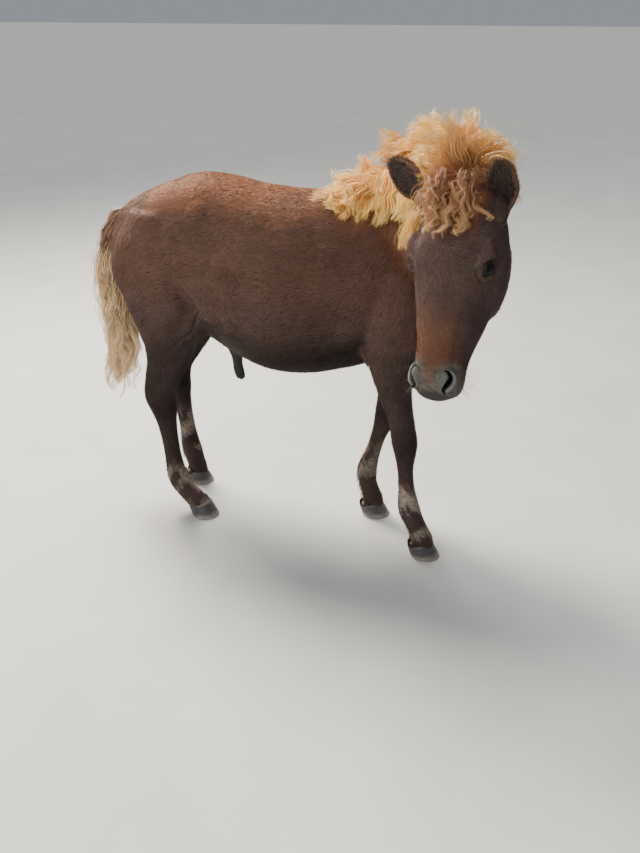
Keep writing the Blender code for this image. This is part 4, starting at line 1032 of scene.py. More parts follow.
def scatter(skin, count_for, seed):
    """Places strewn over the skin: points, normals and the random generator. count_for gives places for each
    face.
    """
    mesh = skin.data
    mesh.calc_loop_triangles()
    triangles = read(mesh.loop_triangles, "vertices", 3)
    points, normals = points_of(skin), normals_of(skin)
    a, b, c = (points[triangles[:, k]] for k in range(3))
    area = 0.5 * np.linalg.norm(np.cross(b - a, c - a), axis=1)
    rng = np.random.default_rng(seed)
    wanted = area * count_for((a + b + c) / 3)
    counts = np.floor(wanted + rng.uniform(size=len(wanted))).astype(int)
    chosen = np.repeat(np.arange(len(triangles)), counts)
    u, v = rng.uniform(size=(2, len(chosen)))
    flip = u + v > 1
    u, v = np.where(flip, 1 - u, u), np.where(flip, 1 - v, v)
    weights = np.stack([1 - u - v, u, v], 1)
    corners = triangles[chosen]
    place = np.einsum("ij,ijk->ik", weights, points[corners])
    normal = units(np.einsum("ij,ijk->ik", weights, normals[corners]))
    return place, normal, rng


def tufts_per_area(points):
    """Tufts for each square metre: few on the broad flanks, dense on the face and feet."""
    down, there = in_head(points)[:, 0], head_share(points)
    feet = ease(0.50, 0.25, points[:, 2])
    flank = 130000 * (1 - feet) + 200000 * feet
    face = 290000 + 90000 * ease(0.26, 0.34, down)
    density = flank * (1 - there) + face * there
    for side in (-1, 1):
        look, slit, up = eye_axes(side)
        rel = points - eye_centre(side)
        place = almond(rel @ slit, rel @ up)
        open_eye = (rel @ look > 0) & (np.linalg.norm(rel, axis=1) < 0.03) & (place < 1.35)
        density = density * ~open_eye
        density = density * ease(1.9, 3.4, nostril_place(points, side)[0])
    gap, reach = mouth_gap(points)
    return density * (1 - (np.abs(gap) < 0.003) * reach * there)


def tuft_sizes(points, rng):
    """Length and width of a tuft, and how high its tip stands."""
    there = head_share(points)
    down, out, _ = in_head(points).T
    z = points[:, 2]
    feet = ease(0.55, 0.25, z)
    length = 0.0145 * (1 - feet) + 0.0085 * feet
    length = length + 0.008 * mane_line(points)
    face = 0.0090 - 0.0052 * ease(0.20, 0.34, down) + 0.007 * ease(-0.10, -0.15, out) * ease(0.25, 0.18, down)
    length = length * (1 - there) + face * there
    length = length * rng.uniform(0.7, 1.3, len(points))
    width = length * (0.085 + 0.03 * there) * rng.uniform(0.75, 1.25, len(points))
    lift = (0.0024 * (1 - 0.5 * feet)) * (1 - there) + 0.0013 * there * ease(0.37, 0.30, down) + 0.0005
    return length, width, lift * rng.uniform(0.5, 1.5, len(points))


def coat_tufts(skin):
    """The short coat: slender tufts folded along their middle, in pieces for the body, legs and head."""
    root, normal, rng = scatter(skin, tufts_per_area, 21)
    way = lie_of_coat(root, normal)
    length, width, lift = tuft_sizes(root, rng)
    stray = rng.normal(size=len(root)) * 0.16
    sideways = np.cross(normal, way)
    way = units(way * np.cos(stray)[:, None] + sideways * np.sin(stray)[:, None])
    sideways = np.cross(normal, way)
    curve = rng.normal(size=len(root)) * 0.10
    start = root - normal * 0.0006
    middle = root + way * (0.45 * length)[:, None] + normal * (lift * 0.50 - width * 0.28)[:, None]
    tip = root + way * length[:, None] + normal * (lift * 0.92)[:, None]
    tip = tip + sideways * (length * curve)[:, None]
    half = sideways * (width / 2)[:, None]
    points = np.stack([start, middle - half, tip, middle + half], 1)
    pattern = np.array([[0, 2, 1], [0, 3, 2]])
    marks = markings_and_painted_light(root, normal)
    chart = chart_of(root)
    place = unwrapped_place(root)
    chance = rng.uniform(size=len(root))
    on_head = head_share(root) > 0.5
    on_leg = ~on_head & (root[:, 2] < LEG_TOP) & (chart > 2)
    rest, ahead = ~on_head & ~on_leg, root[:, 0] > 0.06
    groups = {"coat_face": on_head, "coat_legs": on_leg,
              "coat_fore": rest & ahead, "coat_hind": rest & ~ahead}
    return [
        tuft_piece(name, points[on], pattern, place[on], chance[on],
                   {key: value[on] for key, value in marks.items()}, np.array([0, 0.5, 1.0, 0.5]))
        for name, on in groups.items()
    ]


def tuft_piece(name, points, pattern, place, chance, marks, along):
    """One mesh of many like tufts, with its numbers for the material and its patches on the bake map."""
    count, each = points.shape[:2]
    triangles = (pattern[None] + (np.arange(count) * each)[:, None, None]).reshape(-1, 3)
    obj = triangle_object(name, points.reshape(-1, 3), triangles)
    point_values(obj, "along", np.tile(along, count))
    point_values(obj, "chance", np.repeat(chance, each))
    for key, value in marks.items():
        point_values(obj, key, np.repeat(value, each))
    across = np.linspace(-1, 1, each)
    offsets = np.stack([0.0015 * across, 0.0015 * (2 * along - 1)], 1)
    corners = place[:, None, None, :] + offsets[pattern][None]
    bake_map(obj, corners.reshape(-1, 2))
    return obj


# Guides of the long hair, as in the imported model

def outside(point, frames, margin):
    """The point, moved out of a body's oval sections where it is closer to them than the margin."""
    nearest, gap = None, 1e9
    for frame_there in frames:
        rel = point - frame_there[0]
        off = abs(np.dot(rel, np.cross(frame_there[1], frame_there[2])))
        if off < gap:
            nearest, gap = frame_there, off
    middle, aside, above, wide, rise, drop = nearest[:6]
    rel = point - middle
    u, v = np.dot(rel, aside), np.dot(rel, above)
    reach = (rise if v > 0 else drop) + margin
    depth = math.hypot(u / (wide + margin), v / reach)
    if gap > 0.02 or depth >= 1.0:
        return point
    push = 1.0 / max(depth, 0.3) - 1.0
    return point + aside * u * push + above * v * push


def clear_of_ears(point, margin):
    for side in (-1, 1):
        root, rise, _, _ = ear_axes(side)
        along = min(max(np.dot(point - root, rise), 0.0), EAR_LENGTH)
        away = point - root - rise * along
        near = np.linalg.norm(away)
        if near < margin:
            point = root + rise * along + away * (margin / max(near, 0.002))
    return point


def draped(root, start, end, length, steps, frames, wave):
    """A path that leaves its root one way, comes round to another and stays outside the flesh."""
    start, end = unit(start), unit(end)
    sideways = unit(np.cross(start, end) + 1e-6)
    points = [root]
    for k in range(1, steps + 1):
        t = k / steps
        way = unit(start * (1 - t) ** 1.4 + end * t)
        point = points[-1] + way * length / steps
        if k > 1:
            point = outside(point, frames, 0.004 + 0.008 * t)
            point = clear_of_ears(point, EAR_BERTH)
        points.append(point)
    swing = [wave[0] * t * math.sin(wave[1] + wave[2] * t) for t in np.linspace(0, 1, steps + 1)]
    return np.array([point + sideways * w for point, w in zip(points, swing)])


def mane_paths():
    """Guides of the mane: rows of locks that rise from the crest, part and fall to both sides."""
    rng = np.random.default_rng(MANE_SEED)
    frames = neck_frames(40)
    keep_out = []
    for k, (middle, aside, above, wide, rise, drop) in enumerate(frames[::2]):
        ridge = MANE_CORE * mane_height(2 * k / (len(frames) - 1))
        keep_out.append((middle, aside, above, wide, rise + 0.6 * ridge, drop))
    keep_out += head_frames(14) + trunk_frames(12)
    down = np.array([0.0, 0.0, -1.0])
    paths = []
    for angle, length, share_of_height, fall, count in MANE_ROWS:
        leftward = max(0.0, math.sin(math.radians(angle)))
        span = MANE_END - MANE_LEFT_GAP * leftward - MANE_START
        for k in range(count):
            share = MANE_START + span * (k + 0.5 + rng.uniform(-0.3, 0.3)) / count
            share = max(share, 0.0)
            middle, aside, above, wide, rise, _ = frames[int(round(share * (len(frames) - 1)))]
            lean = math.radians(angle + rng.uniform(-10, 10))
            tall = mane_height(share)
            out = aside * math.sin(lean) + above * math.cos(lean)
            root = middle + above * (rise - 0.01) + aside * wide * 0.5 * math.sin(lean)
            root = root + above * MANE_CORE * 0.7 * tall * math.cos(lean)
            onward = np.cross(aside, above)
            side = 1.0 if lean > 0 else -1.0
            start = out + above * 0.55 + onward * rng.uniform(-0.3, 0.2)
            end = down * fall + aside * side * (0.25 + 0.35 * rng.uniform()) + above * (0.6 - 0.5 * fall)
            end = end + onward * (rng.uniform(-0.5, 0.2) - 0.7 * max(0.0, 1 - 5 * share))
            size = (length + share_of_height * tall) * rng.uniform(0.85, 1.15)
            size *= 1 - MANE_LEFT_TRIM * leftward * np.interp(share, (0.35, 0.75), (0.0, 1.0))
            size *= 1 - MANE_LOW_TRIM * min(fall, 1.0) * np.interp(share, (0.05, 0.36), (1.0, 0.0))
            wave = (0.014, rng.uniform(0, 6.28), rng.uniform(3, 6))
            paths.append(draped(root, start, end, size, LOCK_STEPS, keep_out, wave))
    return paths


def forelock_paths():
    """Guides of the forelock: from between the ears up, forward and down over the forehead."""
    rng = np.random.default_rng(FORELOCK_SEED)
    a, n, s = DOWN_FACE, OUT_FACE, TO_LEFT
    keep_out = head_frames(26)
    paths = []
    for down, aside, length, lift in FORELOCK_ROWS:
        for k in range(FORELOCK_ACROSS):
            place = (k + 0.5 + rng.uniform(-0.25, 0.25)) / FORELOCK_ACROSS * 2 - 1
            root = head_point(down, -0.010 - 0.028 * place * place, aside * place)
            start = -a * lift + n * 0.9 + s * place * 0.35
            end = a * 1.0 + n * 0.10 + s * (place * 0.22 + rng.uniform(-0.25, 0.25))
            size = length * rng.uniform(0.8, 1.15) * (1.0 - 0.22 * abs(place))
            wave = (0.010, rng.uniform(0, 6.28), rng.uniform(4, 7))
            paths.append(draped(root, start, end, size, LOCK_STEPS, keep_out, wave))
    return paths


def tail_paths():
    """Guides of the tail: from all round the dock, falling in long waves to staggered tips."""
    rng = np.random.default_rng(TAIL_SEED)
    dock_rows = smooth_rows(DOCK, 20)
    heights, *columns = np.array(TAIL_LINE).T
    paths = []
    for k in range(TAIL_LOCKS):
        place = (k + 0.5) / TAIL_LOCKS
        x, z, radius = dock_rows[3 + int(place * 15)]
        angle = 2.4 * k + rng.uniform(-0.3, 0.3)
        round_x, round_y = math.cos(angle), math.sin(angle)
        tip = TAIL_TIP_LOW + TAIL_TIP_SPREAD * rng.uniform(0, 1) ** 1.5
        phase, points = rng.uniform(-0.5, 0.5), []
        for t in np.linspace(0, 1, TAIL_STEPS + 1):
            height = z + (tip - z) * t
            line_x, half_x, half_y = (np.interp(-height, -heights, column) for column in columns)
            spread = min(1.0, 0.15 + 2.2 * t) * (0.82 if k % 3 else 0.45)
            along = line_x if t > 0.12 else x + (line_x - x) * t / 0.12
            wave = TAIL_WAVE * t * math.sin(14 * (z - height) + phase + angle)
            points.append([along + round_x * half_x * spread + wave * round_y,
                           round_y * half_y * spread + wave * round_x, height])
        points[0] = [x + round_x * radius * 0.3, round_y * radius * 0.3, z]
        paths.append(np.array(points))
    return paths


def bared_ears(strands):
    """Strands brushed aside where they would hide an ear's opening or lie in the ear."""
    for side in (-1, 1):
        root, rise, opening, across = ear_axes(side)
        rel = strands - root
        along, off, front = rel @ rise, rel @ across, rel @ opening
        inner = np.sign(across @ TO_LEFT) * -side
        level = ease(-0.012, 0.006, along) * ease(EAR_LENGTH + 0.030, EAR_LENGTH, along)
        near = level * window(front, -0.030, -0.018, 0.08, 0.16)
        half = 0.014 + 0.024 * np.sqrt(np.clip(1 - ((along - 0.030) / 0.062) ** 2, 0, 1))
        way = np.where(off * inner > -0.5 * half, inner, -inner)
        target = way * (half + 0.35 * np.abs(off))
        push = np.where(np.abs(off) < half * 1.5, target - off, 0.0) * near
        strands = strands + push[..., None] * across
    return strands


def dock_paths():
    """Guides of the short hair that covers the tail's root, lying down along the dock."""
    rows = smooth_rows(DOCK, 30)
    paths = []
    for k in range(26):
        angle = 2.4 * k
        first = 4 + (k * 7) % 12
        points = []
        for x, z, radius in rows[first:first + 10:2]:
            reach = radius * 0.92 + 0.002
            back = reach * math.cos(angle)
            points.append([x - back, reach * math.sin(angle), z + 0.3 * back])
        paths.append(np.array(points))
    return paths


# Long hair: each guide carries many small curls, each curl many strands

def flat_ways(paths, rng):
    """For each hair, a way across its path in which it is wide."""
    ways = units(np.gradient(paths, axis=1))
    return units(np.cross(ways, units(rng.normal(size=(len(paths), 1, 3)))))


def ribbons(paths, half):
    """The points of flat hairs along paths of as many points each, and the triangles of one hair."""
    count, steps = paths.shape[:2]
    points = np.stack([paths - half, paths + half], 2).reshape(count, steps * 2, 3)
    pattern = []
    for a in range(0, 2 * steps - 2, 2):
        pattern += [[a, a + 1, a + 3], [a, a + 3, a + 2]]
    return points, np.array(pattern)


def bent(start, run, bend, steps):
    """A hair's path from its root, drawn away from its run by the bend."""
    return [start + run * t + bend * t * t for t in steps]


def long_hair(guides, names, seed, curls, strands, steps, roam, curl_size, curl_long, width, gather, reach):
    """Strands for a set of guides, split evenly over the named pieces.

    Each guide carries so many curls and each curl so many strands, of so many steps and that width. roam is
    how far curls stray from their guide, curl_size and curl_long the radius and length of a curl's turn,
    gather how tightly strands draw together at the tip, reach how far the longest go along their guide.
    """
    rng = np.random.default_rng(seed)
    lines = np.array([smooth_rows(path, steps) for path in guides])
    roots = lines[:, 0]
    total = len(lines) * curls
    own = np.repeat(np.arange(len(lines)), curls)
    apart = np.linalg.norm(roots[:, None] - roots[None], axis=2) + 0.3 * np.linalg.norm(
        lines[:, None, -1] - lines[None, :, -1], axis=2)
    order = np.argsort(apart, axis=1)
    friend = order[own, 1 + rng.integers(0, 4, total)]
    mix = rng.uniform(0, 0.85, total)[:, None, None]
    base = lines[own] * (1 - mix) + lines[friend] * mix
    size = rng.uniform(0.62, reach, total)
    t = np.linspace(0, 1, steps)
    along = t[None, :] * size[:, None]
    spot = along * (steps - 1)
    first = np.minimum(spot.astype(int), steps - 2)
    part = (spot - first)[..., None]
    rows = np.arange(total)[:, None]
    base = base[rows, first] * (1 - part) + base[rows, first + 1] * part
    ways = units(np.gradient(base, axis=1))
    handle = units(rng.normal(size=(total, 1, 3)))
    one = units(np.cross(ways, handle))
    two = np.cross(ways, one)
    stray = rng.normal(size=(total, 2)) * roam
    opened = (0.35 + 0.65 * ease(0.0, 0.5, t))[None, :, None]
    base = base + one * stray[:, :1, None] * opened + two * stray[:, 1:, None] * opened
    run = np.linalg.norm(np.diff(base, axis=1), axis=2)
    run = np.concatenate([np.zeros((total, 1)), np.cumsum(run, axis=1)], axis=1)
    pace = 6.283 / (curl_long * rng.uniform(0.75, 1.35, total))[:, None]
    phase = rng.uniform(0, 6.283, total)[:, None]
    hand = rng.choice([-1.0, 1.0], total)[:, None]
    radius = (curl_size * rng.uniform(0.5, 1.3, total))[:, None] * ease(0.05, 0.7, t)[None]
    swing = run * pace + phase
    base = base + one * (radius * np.cos(swing))[..., None] + two * (radius * hand * np.sin(swing))[..., None]
    owner = np.repeat(np.arange(total), strands)
    count = len(owner)
    loose = ((0.3 + 0.7 * ease(0.0, 0.3, t)) * (1 - gather * ease(0.15, 1.0, t)))[None, :, None]
    offset = rng.normal(size=(count, 2)) * roam * np.where(rng.uniform(size=(count, 1)) < 0.06, 1.7, 0.62)
    frizz = rng.normal(size=(count, 2)) * 0.0016
    wobble = np.sin(t[None] * rng.uniform(8, 20, count)[:, None] + rng.uniform(0, 6.28, count)[:, None])
    lift = offset[:, None, :] * loose + frizz[:, None, :] * (wobble * t[None])[..., None]
    strand = base[owner] + one[owner] * lift[..., :1] + two[owner] * lift[..., 1:]
    ends = rng.uniform(0.0, 0.14, count)[:, None] * t[None] ** 3
    strand = strand - units(np.gradient(strand, axis=1)) * (ends * 0.06)[..., None]
    strand = bared_ears(strand)
    flat = flat_ways(strand, rng)
    taper = (1 - 0.82 * t**1.6)[None, :, None] * rng.uniform(0.7, 1.3, count)[:, None, None] * width / 2
    points, pattern = ribbons(strand, flat * taper)
    chance = rng.uniform(size=total)[owner] * 0.65 + rng.uniform(size=count) * 0.35
    ruddy = mound(np.linalg.norm(strand[:, steps // 2] - POLL, axis=1), 0.085)
    place = unwrapped_place(strand[:, 0])
    share = [np.arange(count) % len(names) == k for k in range(len(names))]
    return [
        tuft_piece(name, points[on], pattern, place[on], chance[on], {"ruddy": ruddy[on]}, np.repeat(t, 2))
        for name, on in zip(names, share)
    ]


# Eyes, ears, hooves and small parts

def eyeball(name, side):
    """A round eye with a raised cornea, and the numbers that its material paints the iris by."""
    look, slit, across = eye_axes(side)
    obj = ball(name, (0, 0, 0), (1, 1, 1), None, 40, 56)
    local = points_of(obj)
    u, v, w = local[:, 0], local[:, 1], local[:, 2]
    away = np.hypot(u, v)
    bulge = 0.0009 * ease(0.80, 0.50, away) * (w > 0)
    radius = EYE_RADIUS - 0.0002 + bulge
    outward = np.outer(u, slit) + np.outer(v, across) + np.outer(w, look)
    set_points(obj, eye_centre(side) + outward * radius[:, None])
    face_out(obj)
    smooth_shaded(obj)
    point_values(obj, "iris", np.where(w > 0, away, 1.0))
    point_values(obj, "pupil", np.where(w > 0, np.hypot(u / 0.30, v / 0.15), 3.0))
    return obj


def strip_tube(name, path, radii, sides=8):
    """A closed tube along a path, thinner or thicker along it."""
    ways = units(np.gradient(path, axis=0))
    handle = units(np.cross(ways, [0.31, 0.55, 0.77]))
    other = np.cross(ways, handle)
    rings = []
    turn = circle(sides)
    for point, one, two, radius in zip(path, handle, other, radii):
        rings.append(point + radius * (np.outer(np.cos(turn), one) + np.outer(np.sin(turn), two)))
    return loft(name, rings)


def lid_point(side, u, share, off):
    """A place so far along the opening, at a share of its height there, and so far off the eyeball."""
    look, slit, up = eye_axes(side)
    v = SLIT_TALL * max(1 - (u / SLIT_LONG) ** 2, 0.02) ** 0.75 * share
    w = math.sqrt((EYE_RADIUS + off) ** 2 - u * u - v * v)
    return eye_centre(side) + slit * u + up * v + look * w


def eye_rim(name, side):
    """The dark wet edge of the lids, all round the opening."""
    path, radii = [], []
    for t in np.linspace(0, 2 * math.pi, 49):
        upper = math.sin(t) > 0
        path.append(lid_point(side, SLIT_LONG * math.cos(t) * 1.01, 1.08 if upper else -0.86, 0.0010))
        radii.append(0.00115 if upper else 0.0009)
    return strip_tube(name, np.array(path), radii)


UPPER_LASHES, LOWER_LASHES = 56, 18


def lashes(name, side):
    """Long straight lashes on the upper lid, a few fine ones below."""
    look, slit, up = eye_axes(side)
    rng = np.random.default_rng(31 + side)
    hairs = []
    for upper in [True] * UPPER_LASHES + [False] * LOWER_LASHES:
        u = SLIT_LONG * rng.uniform(-0.85, 0.85)
        root = lid_point(side, u, 1.12 if upper else -0.92, 0.0014)
        length = rng.uniform(0.008, 0.013) if upper else rng.uniform(0.003, 0.006)
        out = look * 0.8 + up * (0.25 if upper else -0.4) + slit * (0.5 * u / SLIT_LONG + rng.normal() * 0.12)
        droop = np.array([0, 0, -1.0]) * (0.55 if upper else 0.2)
        hairs.append(bent(root, unit(out) * length, droop * length, np.linspace(0, 1, 5)))
    return fine_hairs(name, hairs, 0.00042)


def fine_hairs(name, hairs, thick):
    """Three-sided tapered hairs along paths of as many points each."""
    hairs = np.array(hairs)
    count, steps = hairs.shape[:2]
    ways = units(np.gradient(hairs, axis=1))
    one = units(np.cross(ways, [0.3, 0.2, 0.93]))
    two = np.cross(ways, one)
    t = np.linspace(0, 1, steps)
    taper = thick / 2 * (1 - 0.85 * t)[None, :, None]
    rings = [hairs + taper * (one * math.cos(a) + two * math.sin(a)) for a in (0.0, 2.094, 4.189)]
    points = np.stack(rings, 2).reshape(count, steps * 3, 3)
    pattern = []
    for k in range(steps - 1):
        for j in range(3):
            a, b = 3 * k + j, 3 * k + (j + 1) % 3
            pattern += [[a, b, b + 3], [a, b + 3, a + 3]]
    chance = np.random.default_rng(len(hairs)).uniform(size=count)
    place = unwrapped_place(hairs[:, 0])
    return tuft_piece(name, points, np.array(pattern), place, chance, {}, np.repeat(t, 3))


# chin and lips, then the nostrils' sides: how many, where in head axes, which way, how long
WHISKER_BEDS = [
    (120, ((0.325, 0.378), (-0.106, -0.086), (0.0, 0.034)), (0.25, -1.0, 0.55), (0.022, 0.052)),
    (38, ((0.325, 0.392), (-0.074, -0.030), (0.026, 0.044)), (0.35, 0.10, 1.0), (0.016, 0.050)),
]


def whiskers():
    """Feelers on the chin, lips and round the nostrils."""
    rng = np.random.default_rng(41)
    hairs = []
    for count, bed, lie, lengths in WHISKER_BEDS:
        for _ in range(count):
            mirror = np.array([1, 1, rng.choice([-1, 1])])
            root = np.array([rng.uniform(*ends) for ends in bed]) * mirror
            length = rng.uniform(*lengths)
            way = unit(np.array(lie) * mirror + rng.normal(size=3) * 0.34)
            run = DOWN_FACE * way[0] + OUT_FACE * way[1] + TO_LEFT * way[2]
            droop = np.array([0, 0, -1.0]) * rng.uniform(0.1, 0.5)
            hairs.append(bent(head_point(*root), run * length, droop * length, np.linspace(0, 1, 6)))
    return fine_hairs("whiskers", hairs, 0.00052)


EAR_ROWS = [  # up the ear, half width, depth of the back, depth of the cup, lean forward
    (-0.022, 0.0060, 0.0080, 0.000, 0.000),
    (0.000, 0.0140, 0.0155, 0.006, 0.000),
    (0.016, 0.0240, 0.0200, 0.015, 0.001),
    (0.034, 0.0305, 0.0190, 0.0155, 0.002),
    (0.052, 0.0290, 0.0150, 0.0120, 0.004),
    (0.069, 0.0238, 0.0098, 0.0072, 0.007),
    (0.081, 0.0140, 0.0056, 0.0030, 0.010),
    (0.087, 0.0038, 0.0024, 0.0006, 0.012),
]
# hairs on the back, along the edges and in the cup
EAR_HAIRS = (2300, 1000, 900)
# places along a short hair where it has points
SHORT_STEPS = (0.0, 0.45, 1.0)


def on_ear(axes, up, wide, lean, depth, t):
    """A place on an ear's section, at an angle from one edge round its back or cup to the other."""
    root, rise, opening, across = axes
    return root + rise * up - across * wide * math.cos(t) + opening * (lean - depth * math.sin(t))


def ear(name, side):
    """A cupped, leaf-shaped ear with a rolled edge."""
    axes = ear_axes(side)
    rings, inner = [], []
    for up, wide, back, cup, lean in smooth_rows(EAR_ROWS, 30):
        ring = []
        for t in np.linspace(0, math.pi, 22):
            ring.append(on_ear(axes, up, wide, lean, back, t))
            inner.append(0.0)
        for t in np.linspace(math.pi, 0, 16):
            rolled_in = 0.90 - 0.05 * math.sin(t)
            ring.append(on_ear(axes, up, wide * rolled_in, lean + 0.0022, cup, t))
            inner.append(1.0 if 0.2 < t < 2.94 else 0.4)
        rings.append(np.array(ring))
    obj = loft(name, rings)
    point_values(obj, "inside", inner)
    return obj


def ear_hair(name, side):
    """Short hair on the back of an ear, a fringe along its edges and woolly hair inside."""
    axes = ear_axes(side)
    root, rise, opening, across = axes
    rows = smooth_rows(EAR_ROWS, 60)
    rng = np.random.default_rng(51 + side)
    hairs, kinds = [], np.repeat([0, 1, 2], EAR_HAIRS)
    for kind in kinds:
        up, wide, back, cup, lean = rows[int(rng.uniform(6, 58))]
        if kind == 0:
            t = rng.uniform(0.0, math.pi)
            start = on_ear(axes, up, wide, lean, back, t)
            out = -across * math.cos(t) - opening * math.sin(t)
            way = rise * 1.0 + out * 0.22 + across * rng.normal() * 0.15
            length = rng.uniform(0.007, 0.013)
        elif kind == 1:
            edge = rng.choice([-1.0, 1.0])
            start = root + rise * up + across * wide * 0.95 * edge + opening * (lean + 0.001)
            way = rise * 0.55 - across * edge * rng.uniform(0.1, 0.9) + opening * rng.uniform(0.1, 0.6)
            length = rng.uniform(0.004, 0.009)
            out = opening
        else:
            t = rng.uniform(0.3, 2.84)
            start = on_ear(axes, up, wide * 0.8, lean + 0.002, cup, t)
            way = rise * 0.7 + opening * 0.6 + across * rng.normal() * 0.35
            length = rng.uniform(0.008, 0.016)
            out = opening
        way = unit(way)
        bend = unit(rng.normal(size=3)) * 0.18
        hairs.append(bent(start - out * 0.0004, way * length, bend * length, SHORT_STEPS))
    hairs = np.array(hairs)
    taper = np.array([0.5, 0.42, 0.1])[None, :, None] * np.where(kinds == 0, 0.0017, 0.0011)[:, None, None]
    points, pattern = ribbons(hairs, flat_ways(hairs, rng) * taper)
    place = unwrapped_place(hairs[:, 0])
    marks = {"fringe": (kinds == 1) * 1.0, "inner": (kinds == 2) * 1.0}
    return tuft_piece(name, points, pattern, place, rng.uniform(size=len(hairs)), marks,
                      np.repeat(SHORT_STEPS, 2))


def hoof_axes(name):
    """Where a hoof stands, and the ways ahead and to its left."""
    x, y, turn = HOOVES[name]
    c, s = math.cos(math.radians(turn)), math.sin(math.radians(turn))
    return x, y, np.array([c, s, 0.0]), np.array([-s, c, 0.0])


def hoof(name):
    """A hoof with growth rings, a worn toe and a soft band at the coronet."""
    x, y, ahead, aside = hoof_axes(name)
    toe_slope, length, width, height = 0.50, 0.043, 0.036, 0.044
    rings, heights = [], []
    shares = np.concatenate([[0.0, 0.02, 0.06], np.linspace(0.12, 0.90, 30), [0.94, 0.98, 1.0]])
    phase = 7.0 * x + 11.0 * y
    for share in shares:
        angle = circle(64)
        c, s = np.cos(angle), np.sin(angle)
        z = share * height * (0.80 + 0.20 * c)
        lean = -toe_slope * z
        tighten = 1.0 - 0.10 * share - (0.06 if share == 0.0 else 0.02 if share < 0.05 else 0.0)
        tighten -= 0.06 * ease(0.90, 1.0, share)
        rim = 0.010 * math.sin(share * 34 + phase) + 0.007 * math.sin(share * 71 + 2.0 * phase)
        tighten += rim * window(share, 0.05, 0.15, 0.90, 0.98)
        heel = 1 - 0.10 * mound(np.abs(angle - math.pi), 0.22)
        wear = 1 - 0.012 * np.sin(9 * angle + phase) * (share < 0.10)
        front = np.where(c > 0, length, length * 0.82) * c * tighten * heel * wear
        flank = width * s * tighten * np.where(c < 0, 1 + 0.06 * c, 1.0) * wear
        rings.append(np.array([x, y, 0.0]) + np.outer(front + lean, ahead) + np.outer(flank, aside)
                     + np.outer(z, [0, 0, 1]))
        heights += [share] * len(angle)
    obj = loft("horn_" + name, rings)
    point_values(obj, "height", heights)
    return obj


CORONET_HAIRS, FETLOCK_HAIRS = 640, 260


def coronet_hair():
    """Hair that hangs over the top of each hoof, longer at the back of the fetlock."""
    rng = np.random.default_rng(61)
    hairs = []
    for name in HOOVES:
        x, y, ahead, aside = hoof_axes(name)
        rows = smooth_rows(LEGS[name], 60)
        for k in range(CORONET_HAIRS + FETLOCK_HAIRS):
            angle = rng.uniform(0, 2 * math.pi)
            c, s = math.cos(angle), math.sin(angle)
            if k < CORONET_HAIRS:
                z = 0.044 * (0.80 + 0.20 * c) + rng.uniform(0.000, 0.010)
                out = ahead * c * (0.0300 if c > 0 else 0.0270) + aside * s * 0.0285
                start = np.array([x, y, z]) + out - ahead * 0.5 * z
                way = unit(ahead * 0.42 + np.array([0, 0, -1.0]) + unit(out) * 0.30)
                length = rng.uniform(0.008, 0.015)
            else:
                low = 3 if name.startswith("fore") else 4
                row = rows[int(np.clip(60 * (1 - low / 17) + rng.uniform(-4, 5), 0, 59))]
                out = -ahead * row[4] * 0.92 * abs(c) + aside * row[5] * 0.75 * s
                start = row[:3] + out
                way = unit(-ahead * 0.42 + np.array([0, 0, -1.0]) + aside * rng.normal() * 0.15)
                length = rng.uniform(0.009, 0.019)
            bend = unit(rng.normal(size=3)) * 0.16
            hairs.append(bent(start, way * length, bend * length, SHORT_STEPS))
    hairs = np.array(hairs)
    hairs[..., 2] = np.maximum(hairs[..., 2], 0.004)
    taper = np.array([0.5, 0.40, 0.08])[None, :, None] * 0.0017
    points, pattern = ribbons(hairs, flat_ways(hairs, rng) * taper)
    roots = hairs[:, 0]
    marks = markings_and_painted_light(roots, np.tile([0.0, 0.0, 0.2], (len(roots), 1)))
    return tuft_piece("coronet_hair", points, pattern, unwrapped_place(roots), rng.uniform(size=len(hairs)),
                      marks, np.repeat(SHORT_STEPS, 2))


def sheath():
    """The colt's sheath, soft and creased."""
    rings = []
    for x, z, wide, long in smooth_rows(SHEATH, 64):
        turn = circle(40)
        crease = 0.97 - 0.045 * np.sin(z * 900 + 1.4 * np.sin(2 * turn)) - 0.03 * np.sin(3 * turn + z * 160)
        rings.append(np.array([x, 0, z]) + np.outer(long * crease * np.cos(turn), [1, 0, 0])
                     + np.outer(wide * crease * np.sin(turn), [0, 1, 0]))
    return loft("soft_sheath", rings)


def dock():
    """The tail's bone and skin, hidden by hair but for its root."""
    rows = smooth_rows(DOCK, 40)
    way = np.gradient(rows[:, :2], axis=0)
    rings = []
    for (x, z, radius), (dx, dz) in zip(rows, way):
        above = unit(np.array([dz, 0, -dx])) * -1
        fat = radius * 0.86 * (1 + 0.03 * math.sin(z * 420))
        rings.append(oval((x, 0, z), (0, 1, 0), above, fat, fat, fat, 24))
    return loft("dock", rings)


# Materials

def paint(red, green, blue):
    """A colour given in screen values, as the shader wants it."""
    parts = [c / 255 for c in (red, green, blue)]
    return (*[c / 12.92 if c <= 0.04045 else ((c + 0.055) / 1.055) ** 2.4 for c in parts], 1.0)


def feed(tree, socket, value):
    """Links or sets one input."""
    if isinstance(value, bpy.types.NodeSocket):
        tree.links.new(value, socket)
    else:
        socket.default_value = value


def calc(tree, operation, one, two):
    node = tree.nodes.new("ShaderNodeMath")
    node.operation = operation
    feed(tree, node.inputs[0], one)
    feed(tree, node.inputs[1], two)
    return node.outputs[0]


def times(tree, one, two):
    return calc(tree, "MULTIPLY", one, two)


def plus(tree, one, two):
    return calc(tree, "ADD", one, two)


def less(tree, one, two):
    return calc(tree, "SUBTRACT", one, two)


